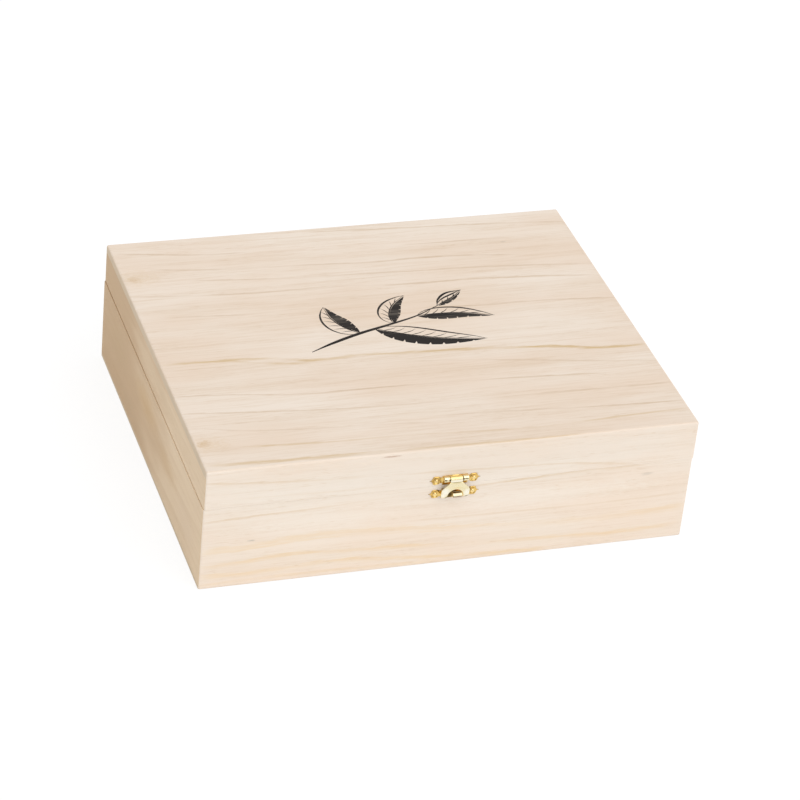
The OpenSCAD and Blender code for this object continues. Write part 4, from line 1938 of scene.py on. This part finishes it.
TAN = (0.66, 0.48, 0.27)
TOP_LINES = (
    GrainLine(((-139, 107), (-119, 103.4), (-91, 98.6), (-63, 97)), 1.6, 0.34),
    GrainLine(((-119, 86), (-85, 81), (-55, 79), (-19, 77), (5, 75), (47, 75), (97, 70)), 1.4, 0.4),
    GrainLine(((-19, 114), (41, 110), (81, 108), (137, 103)), 1.4, 0.34),
    GrainLine(((33, 91), (61, 90.4), (97, 90)), 1.2, 0.3),
    GrainLine((
        (-139, 59), (-123, 57), (-73, 52.6), (-39, 52), (-11, 51.4), (13, 48.6), (71, 47), (139, 40),
    ), 1.6, 0.42),
    GrainLine(((-99, 71), (-55, 66), (-19, 64), (21, 62), (81, 59), (139, 53)), 1.4, 0.32),
    GrainLine(((-127, 34.6), (-97, 32), (-79, 30.6), (-43, 32)), 1.3, 0.3),
    GrainLine(((27, 21.4), (61, 18.6), (81, 18.6), (109, 17), (139, 14.6)), 1.6, 0.36),
    GrainLine((
        (-139, -12.6), (-113, -14), (-79, -16), (-51, -22), (-27, -21), (-1, -23), (25, -24),
        (61, -27.4), (85, -30), (109, -35), (139, -37),
    ), 2.6, 0.62, TAN),
    GrainLine(((-103, -14), (-79, -21), (-57, -24)), 2.0, 0.4, TAN),
    GrainLine((
        (-139, -45), (-109, -48), (-69, -54), (-39, -54.6), (1, -55.4), (41, -57), (103, -61.4),
    ), 1.3, 0.42),
    GrainLine(((1, -32), (41, -37), (101, -48), (139, -54)), 1.5, 0.3),
    GrainLine((
        (-139, -62), (-105, -66), (-69, -70), (-35, -72.6), (-19, -73), (25, -74.6), (139, -77),
    ), 1.2, 0.34),
    GrainLine(((-129, -78), (-109, -83), (-79, -87), (-47, -89), (-11, -92)), 1.3, 0.36),
    GrainLine(((5, -87), (51, -90), (81, -92.6), (139, -95.4)), 1.3, 0.38),
    GrainLine((
        (-113, -98), (-69, -101), (-27, -102), (1, -104), (53, -107), (91, -105), (139, -103),
    ), 1.6, 0.36, TAN),
    GrainLine(((-139, -112), (-79, -114), (-29, -115.5), (20, -116.6), (70, -117.6)), 2.6, 0.5, TAN),
)
AMBER = (0.80, 0.605, 0.375)
ROSE = (0.71, 0.55, 0.375)
FRONT_LINES = (
    GrainLine((
        (-139.5, 69.5), (-106, 66.8), (-73, 64.5), (-39.5, 63.5), (-19.5, 62.3), (20.5, 60.7),
        (43.8, 59.8), (60.5, 59), (77, 57.3), (93.8, 55.2), (108, 52.2),
    ), 1.4, 0.42, ROSE),
    GrainLine((
        (-139.5, 44.5), (-106, 45.7), (-78, 46.2), (-56, 47.3), (-23, 48.5), (20.5, 50.3),
        (60.5, 51.8), (108, 52),
    ), 1.4, 0.38, ROSE),
    GrainLine(((30, 50.6), (60, 52), (85, 52.6), (108, 52.1)), 1.1, 0.4, ROSE),
    GrainLine((
        (-139.5, 25.5), (-106, 26.6), (-84, 28.6), (-56, 28.2), (-31, 26.6), (-6, 24.6), (19, 22.5),
        (52, 20.8), (94, 19.6), (139, 21.6),
    ), 4.2, 0.3, AMBER),
    GrainLine((
        (-139.5, 23.4), (-106, 24.4), (-84, 26), (-56, 25.6), (-31, 24), (-6, 22), (19, 20),
    ), 1.1, 0.22, AMBER),
    GrainLine((
        (-139.5, 15), (-114, 15.9), (-101, 17.2), (-89, 18), (-76, 17.5), (-56, 15.9), (-31, 15),
        (2, 12.5), (35, 10.5), (69, 9.2), (94, 8), (120, 8.7), (139, 10),
    ), 2.6, 0.42, AMBER),
    GrainLine((
        (-139.5, 8.8), (-106, 8.1), (-84, 9.3), (-72, 10), (-48, 9.3), (-31, 7.6), (-6, 5.1),
        (19, 3.5), (60, 2.6),
    ), 2.8, 0.42, AMBER),
    GrainLine(((-139.5, 3), (-90, 4), (-40, 3), (20, 0.5)), 2.0, 0.26, AMBER),
    GrainLine(((-22, 31), (35, 30), (69, 29.3), (139, 30)), 1.2, 0.24, ROSE),
    GrainLine(((-120, 58), (-80, 56.5), (-40, 56)), 1.2, 0.2, ROSE),
)
KNOT = (0.72, 0.53, 0.32)
BROWN = (0.62, 0.42, 0.22)
GREY = (0.45, 0.4, 0.33)
DUST = (0.66, 0.49, 0.32)
BLEACHED = (0.88, 0.815, 0.73)
TOP_SMUDGES = (
    Patch((-130, 78), (19, 13), 0.36, KNOT, 0.8),
    Patch((-133, 76.5), (6.5, 4.6), 0.5, BROWN, 0.5),
    Patch((-132, -93), (16, 11), 0.36, KNOT, 0.8),
    Patch((-134, -92), (5.5, 4.6), 0.55, BROWN, 0.5),
    Patch((94.5, 85), (2.6, 0.8), 0.35, GREY),
)
FRONT_SMUDGES = (
    Patch((0, 64), (190, 20), 0.35, (0.79, 0.71, 0.62)),
    Patch((55, 39), (85, 9), 0.4, BLEACHED),
    Patch((-75, 38), (60, 9), 0.3, BLEACHED),
    Patch((-112, 29.5), (3, 0.8), 0.6, GREY),
    Patch((113.8, 45.7), (4.5, 1.6), 0.3, GREY),
    Patch((-37, 75.0), (7, 0.8), 0.75, (0.5, 0.33, 0.24)),
)
LEFT_SMUDGES = (
    Patch((8, 37), (34, 13), 0.42, (0.62, 0.40, 0.18)),
    Patch((-42, 30), (30, 9), 0.34, (0.62, 0.41, 0.2)),
    Patch((78, 34), (34, 20), 0.36, (0.60, 0.43, 0.25)),
    Patch((-86, 22), (26, 18), 0.3, (0.74, 0.57, 0.42)),
    Patch((40, 12), (40, 9), 0.3, (0.6, 0.44, 0.28)),
    Patch((-20, 64), (46, 7), 0.25, (0.6, 0.44, 0.27)),
)
RIGHT_SMUDGES = (
    Patch((-64, 44), (30, 7), 0.3, (0.58, 0.40, 0.22)),
    Patch((30, 22), (44, 8), 0.26, (0.60, 0.42, 0.24)),
    Patch((72, 60), (26, 6), 0.28, (0.58, 0.40, 0.22)),
    Patch((-20, 63), (1.9, 0.8), 0.45, GREY),
)
BACK_SMUDGES = (
    Patch((-46, 24), (46, 7), 0.24, DUST),
    Patch((52, 41), (38, 6), 0.22, DUST),
    Patch((-16, 67), (34, 5), 0.2, DUST),
    Patch((118, 18), (2.4, 0.8), 0.5, GREY),
)
# The brown of painted shade on the flat latch plates.
SHADE_BROWN = (0.22, 0.12, 0.035)
PALE_BRASS = (0.86, 0.765, 0.51)
GILT = (0.88, 0.66, 0.26)
# The pale cream of painted highlights on the hasp.
SHEEN = (0.97, 0.93, 0.80)
# The near black of painted shade and dark painted reflections on the latch.
SHADE_DARK = (0.13, 0.09, 0.04)
# Painted shade where the plates lie flat: the dark inside the hasp's arch left of the nose, then brown shade
# beside the hasp's flank, under the knuckles and on the ears' shoulders; the last four darken the tips of the
# spikes.
PLATE_SHADE_AND_DARK_TIPS = (
    Patch((-1.9, 46.2), (3.4, 4.2), 0.96, (0.075, 0.045, 0.016), ragged=0.7),
    Patch((-7.0, 51.0), (2.4, 1.6), 0.7, SHADE_BROWN, ragged=0.5),
    Patch((-5.4, 53.4), (2.6, 1.2), 0.75, SHADE_BROWN, ragged=0.4),
    Patch((8.8, 49.6), (1.6, 1.5), 0.75, SHADE_BROWN, ragged=0.5),
    Patch((-9.0, 49.9), (1.8, 0.9), 0.6, SHADE_BROWN, ragged=0.6),
    Patch((9.0, 57.4), (1.2, 1.6), 0.6, SHADE_BROWN, ragged=0.7),
    Patch((-8.4, 57.6), (1.4, 1.5), 0.5, SHADE_BROWN, ragged=0.7),
    *(
        Patch((x, z), (1.6, 1.0), 0.85, (0.2, 0.17, 0.12), ragged=0.2)
        for x in (-14.4, 15.2) for z in (47.5, 56.2)
    ),
)
# Painted light where the plates stand out: the nose's top is dulled against the key light's highlight, its
# underside gets painted shade, and the knuckle ends get dark painted reflections and shade.
PROUD_PAINTED_SHADE = (
    Patch((1.4, 48.6), (6.5, 2.6), 1.0, (0.60, 0.52, 0.35), ragged=0.2),
    Patch((1.4, 46.7), (6.5, 1.7), 1.0, (0.40, 0.28, 0.21), ragged=0.2),
    Patch((-5.9, 58.0), (1.1, 0.8), 0.95, SHADE_DARK, ragged=0.4),
    Patch((-3.6, 57.8), (0.8, 1.2), 0.95, SHADE_DARK, ragged=0.4),
    Patch((5.9, 58.1), (2.2, 0.5), 0.9, SHADE_DARK, ragged=0.3),
    Patch((4.2, 58.0), (0.8, 1.3), 0.95, SHADE_DARK, ragged=0.4),
)
# Painted light on the hasp: a golden reflection on top of its knuckle, a highlight under it, shade in the
# groove below, highlights on its flanks and toes, a golden band above the arch, and shade under the toes.
BELL_PAINTED_LIGHT = (
    Patch((0.4, 59.2), (9.0, 1.6), 0.95, GILT, ragged=0.2),
    Patch((0.4, 57.0), (9.0, 1.0), 0.8, SHEEN, ragged=0.2),
    Patch((0.4, 55.7), (7.0, 0.55), 0.85, (0.30, 0.25, 0.13), ragged=0.2),
    Patch((-5.4, 50.4), (3.4, 3.6), 0.9, SHEEN, ragged=0.3),
    Patch((-6.6, 47.8), (2.6, 2.0), 0.9, SHEEN, ragged=0.3),
    Patch((7.0, 48.6), (3.0, 3.4), 0.9, SHEEN, ragged=0.3),
    Patch((1.2, 52.4), (3.6, 0.9), 0.4, GILT, ragged=0.4),
    Patch((-4.1, 46.2), (1.6, 1.6), 0.95, SHADE_DARK, ragged=0.4),
    Patch((7.1, 45.9), (2.2, 1.0), 0.95, SHADE_DARK, ragged=0.3),
)


class Finishes:
    """Every material of the object."""

    def __init__(self, case: Case) -> None:
        """Builds the materials.

        Args:
            case: Sizes of the case.
        """
        effects = Effects()
        self.top = Wood(
            "wood_top", Grain.TOP, pale=(0.873, 0.77, 0.668), warm=(0.83, 0.684, 0.558), lines=TOP_LINES,
            smudges=TOP_SMUDGES, ring_share=0.16, streak_share=0.8, line_share=1.6, seed=2.0,
        ).material(effects, case)
        front = Wood(
            "wood_front", Grain.LONG_WALL, pale=(0.84, 0.757, 0.665), warm=(0.84, 0.71, 0.592),
            lines=FRONT_LINES, smudges=FRONT_SMUDGES, slope=0.02, ring_share=0.1, line_share=1.6, seed=4.0,
        )
        back = Wood(
            "wood_back", Grain.LONG_WALL, smudges=BACK_SMUDGES, pitch=10.0, slope=-0.04, pith=(20.0, 60.0),
            ring_share=0.7, streak_share=0.7, seed=7.0,
        )
        tanned = partial(Wood, grain=Grain.SHORT_WALL, pale=(0.83, 0.655, 0.46), late=(0.55, 0.36, 0.19))
        left = tanned(
            "wood_left", warm=(0.65, 0.465, 0.29), smudges=LEFT_SMUDGES, slope=0.1, pith=(-60.0, -80.0),
            ring_share=0.3, streak_share=0.35, drift=0.75, seed=9.0,
        )
        right = tanned(
            "wood_right", warm=(0.71, 0.51, 0.32), smudges=RIGHT_SMUDGES, pitch=9.0, slope=-0.06,
            pith=(90.0, 60.0), ring_share=0.65, streak_share=0.6, drift=0.4, seed=12.0,
        )
        walls = {Side.FRONT: front, Side.BACK: back, Side.LEFT: left, Side.RIGHT: right}
        self.walls = {side: wood.material(effects, case) for side, wood in walls.items()}
        strip = partial(Wood, pale=(0.82, 0.71, 0.56), pitch=9.0, pith=(-40.0, 30.0), ring_share=0.35)
        self.bottom, self.long_strip, self.cross_strip = (wood.material(effects, case) for wood in (
            Wood("wood_bottom", Grain.TOP, pitch=11.0, slope=-0.05, seed=15.0),
            strip("wood_long_strip", Grain.LONG_WALL, seed=18.0),
            strip("wood_cross_strip", Grain.SHORT_WALL, seed=21.0),
        ))
        # The latch's and the hasp's patches paint highlights, reflections and shade into their colour.
        self.latch = Brass(
            "brass_latch", bright=(0.80, 0.55, 0.18), dull=(0.42, 0.23, 0.05), rough=0.12, tarnish=0.8,
            rubs=0.03, relief=0.015, proud=PALE_BRASS, smudges=PROUD_PAINTED_SHADE, flat_shade=PLATE_SHADE_AND_DARK_TIPS,
        ).material(effects)
        self.bell = Brass(
            "brass_bell", bright=GILT, dull=(0.55, 0.40, 0.16), rough=0.16, tarnish=0.25,
            rubs=0.02, relief=0.006, proud=PALE_BRASS, proud_from=(-118.6, -119.2), smudges=BELL_PAINTED_LIGHT,
        ).material(effects)
        self.nail = Brass(
            "brass_nail", bright=(0.93, 0.72, 0.34), dull=(0.5, 0.3, 0.09), rough=0.1, tarnish=0.4,
            rubs=0.04, relief=0.02,
        ).material(effects)
        self.screw = Brass(
            "brass_screw", bright=(0.93, 0.76, 0.42), dull=(0.6, 0.42, 0.18), rough=0.14, tarnish=0.3,
            rubs=0.05, relief=0.02,
        ).material(effects)
        self.hinge = Brass(
            "brass_hinge", bright=(0.80, 0.60, 0.26), dull=(0.58, 0.40, 0.16), rough=0.24, tarnish=0.4,
            rubs=0.08, relief=0.02,
        ).material(effects)
        self.ink = Ink(seed=2.0).material(effects)

    def panelled(self, mesh: Mesh, face: Material) -> Mesh:
        """Dresses a panel: its long edges like the walls they are flush with, the rest in its own wood.

        Args:
            mesh: The panel, which is changed.
            face: Its own wood.

        Returns:
            The same mesh.
        """
        for material in (face, self.walls[Side.FRONT], self.walls[Side.BACK]):
            mesh.materials.append(material)
        for polygon in mesh.polygons:
            out = polygon.normal.y
            polygon.material_index = 1 if out < -0.7 else 2 if out > 0.7 else 0
        return mesh


# ---- Studio -------------------------------------------------------------------------------


@dataclass
class Studio:
    """White floor and surroundings, one soft key light and the camera of the photograph."""

    camera_at: Place = (-0.52153, -1.4191, 1.0188)
    right: Place = (0.951678, -0.294491, 0.087089)
    up: Place = (0.092793, 0.546084, 0.832575)
    back: Place = (-0.292744, -0.784262, 0.547023)
    lens: float = 141.42
    ambient: float = 0.76
    key: float = 1.2
    key_from: Place = (0.35, -0.7, 0.62)
    key_spread: float = 70.0
    floor_reach: float = 4000.0
    floor_glow: float = 0.84
    floor_plain: Colour = (0.86, 0.86, 0.86)
    floor_shown: Colour = (0.2, 0.2, 0.2)
    dark_card: float = 0.12
    card_heights: Point = (-0.1, 0.34)

    def build(self) -> None:
        """Sets up floor, world, key light, camera and view settings."""
        scene = bpy.context.scene
        scene.view_settings.view_transform = "Standard"
        self.lay_floor()
        self.light_world(scene)
        lamp = bpy.data.lights.new("key", "SUN")
        lamp.energy = self.key
        lamp.angle = math.radians(self.key_spread)
        holder = bpy.data.objects.new("key", lamp)
        holder.rotation_euler = Vector(self.key_from).to_track_quat("Z", "Y").to_euler()
        scene.collection.objects.link(holder)
        camera = bpy.data.cameras.new("camera")
        camera.lens, camera.sensor_width, camera.clip_start = self.lens, 36.0, 0.01
        eye = bpy.data.objects.new("camera", camera)
        turn = Matrix((self.right, self.up, self.back)).transposed().to_4x4()
        eye.matrix_world = Matrix.Translation(self.camera_at) @ turn
        scene.collection.objects.link(eye)
        scene.camera = eye
        LOG.info("studio: ambient %.2f, key %.2f", self.ambient, self.key)

    def seen(self, bench: Bench) -> tuple[Socket, Socket]:
        """Tells rays that see or mirror a thing from those that only light others.

        Args:
            bench: Bench of the tree.

        Returns:
            1 for rays that see or mirror it, and 1 for those that mirror it.
        """
        rays = bench.node("ShaderNodeLightPath").outputs
        kinds = [rays[f"Is {kind} Ray"] for kind in ("Camera", "Glossy", "Transmission")]
        return reduce(partial(bench.math, "MAXIMUM"), kinds), rays["Is Glossy Ray"]

    def lay_floor(self) -> None:
        """Lays a floor that looks white where nothing shades it."""
        reach = self.floor_reach
        mesh = bpy.data.meshes.new("floor")
        corners = [(x, y, 0.0) for x, y in rectangle(-reach, -reach, reach, reach)]
        mesh.from_pydata(metres(corners), [], [(0, 1, 2, 3)])
        material, bench, shader = started("floor_white", Roughness=0.9, Specular_IOR_Level=0.0)
        seen, _ = self.seen(bench)
        bench.feed(shader.inputs["Base Color"], bench.mix(seen, self.floor_plain, self.floor_shown))
        bench.feed(shader.inputs["Emission Color"], (1.0, 1.0, 1.0, 1.0))
        bench.feed(shader.inputs["Emission Strength"], bench.product(seen, self.floor_glow))
        mesh.materials.append(material)
        floor = bpy.data.objects.new("floor", mesh)
        bpy.context.scene.collection.objects.link(floor)

    def light_world(self, scene: bpy.types.Scene) -> None:
        """Lights from all round at a plain level, white where it is seen or mirrored.

        Args:
            scene: The scene.
        """
        world = bpy.data.worlds.new("studio")
        scene.world = world
        world.use_nodes = True
        bench = Bench(world.node_tree)
        lamp = world.node_tree.nodes["Background"]
        seen, mirrored = self.seen(bench)
        _, depth, height = bench.split(bench.node("ShaderNodeTexCoord").outputs["Generated"])
        low, high = self.card_heights
        band = bench.product(
            bench.ramp(height, low, low + 0.06), bench.fall(height, high - 0.1, high),
            bench.fall(depth, -0.5, 0.1), mirrored,
        )
        white = bench.total(self.ambient, bench.product(seen, 1.0 - self.ambient))
        dimmed = bench.total(1.0, bench.product(band, self.dark_card - 1.0))
        bench.feed(lamp.inputs["Color"], (1.0, 1.0, 1.0, 1.0))
        bench.feed(lamp.inputs["Strength"], bench.product(white, dimmed))


def main() -> None:
    """Builds every sub-assembly in order."""
    logging.basicConfig(level=logging.INFO, format="%(name)s: %(message)s")
    case = Case()
    finishes = Finishes(case)
    grid = DividerGrid(case, finishes)
    Base(case, finishes).build(grid)
    grid.build()
    Lid(case, finishes).build()
    fasteners = Tree("fastener_row", {
        "template": "object", "turn": "length", "seed": "count", "facing": "vector", "material": "material",
    }, wire_fasteners)
    Hinges(case, finishes).build(fasteners)
    Latch(case, finishes).build(fasteners)
    Sprig(case, finishes).build()
    Studio().build()


if __name__ == "__main__":
    main()
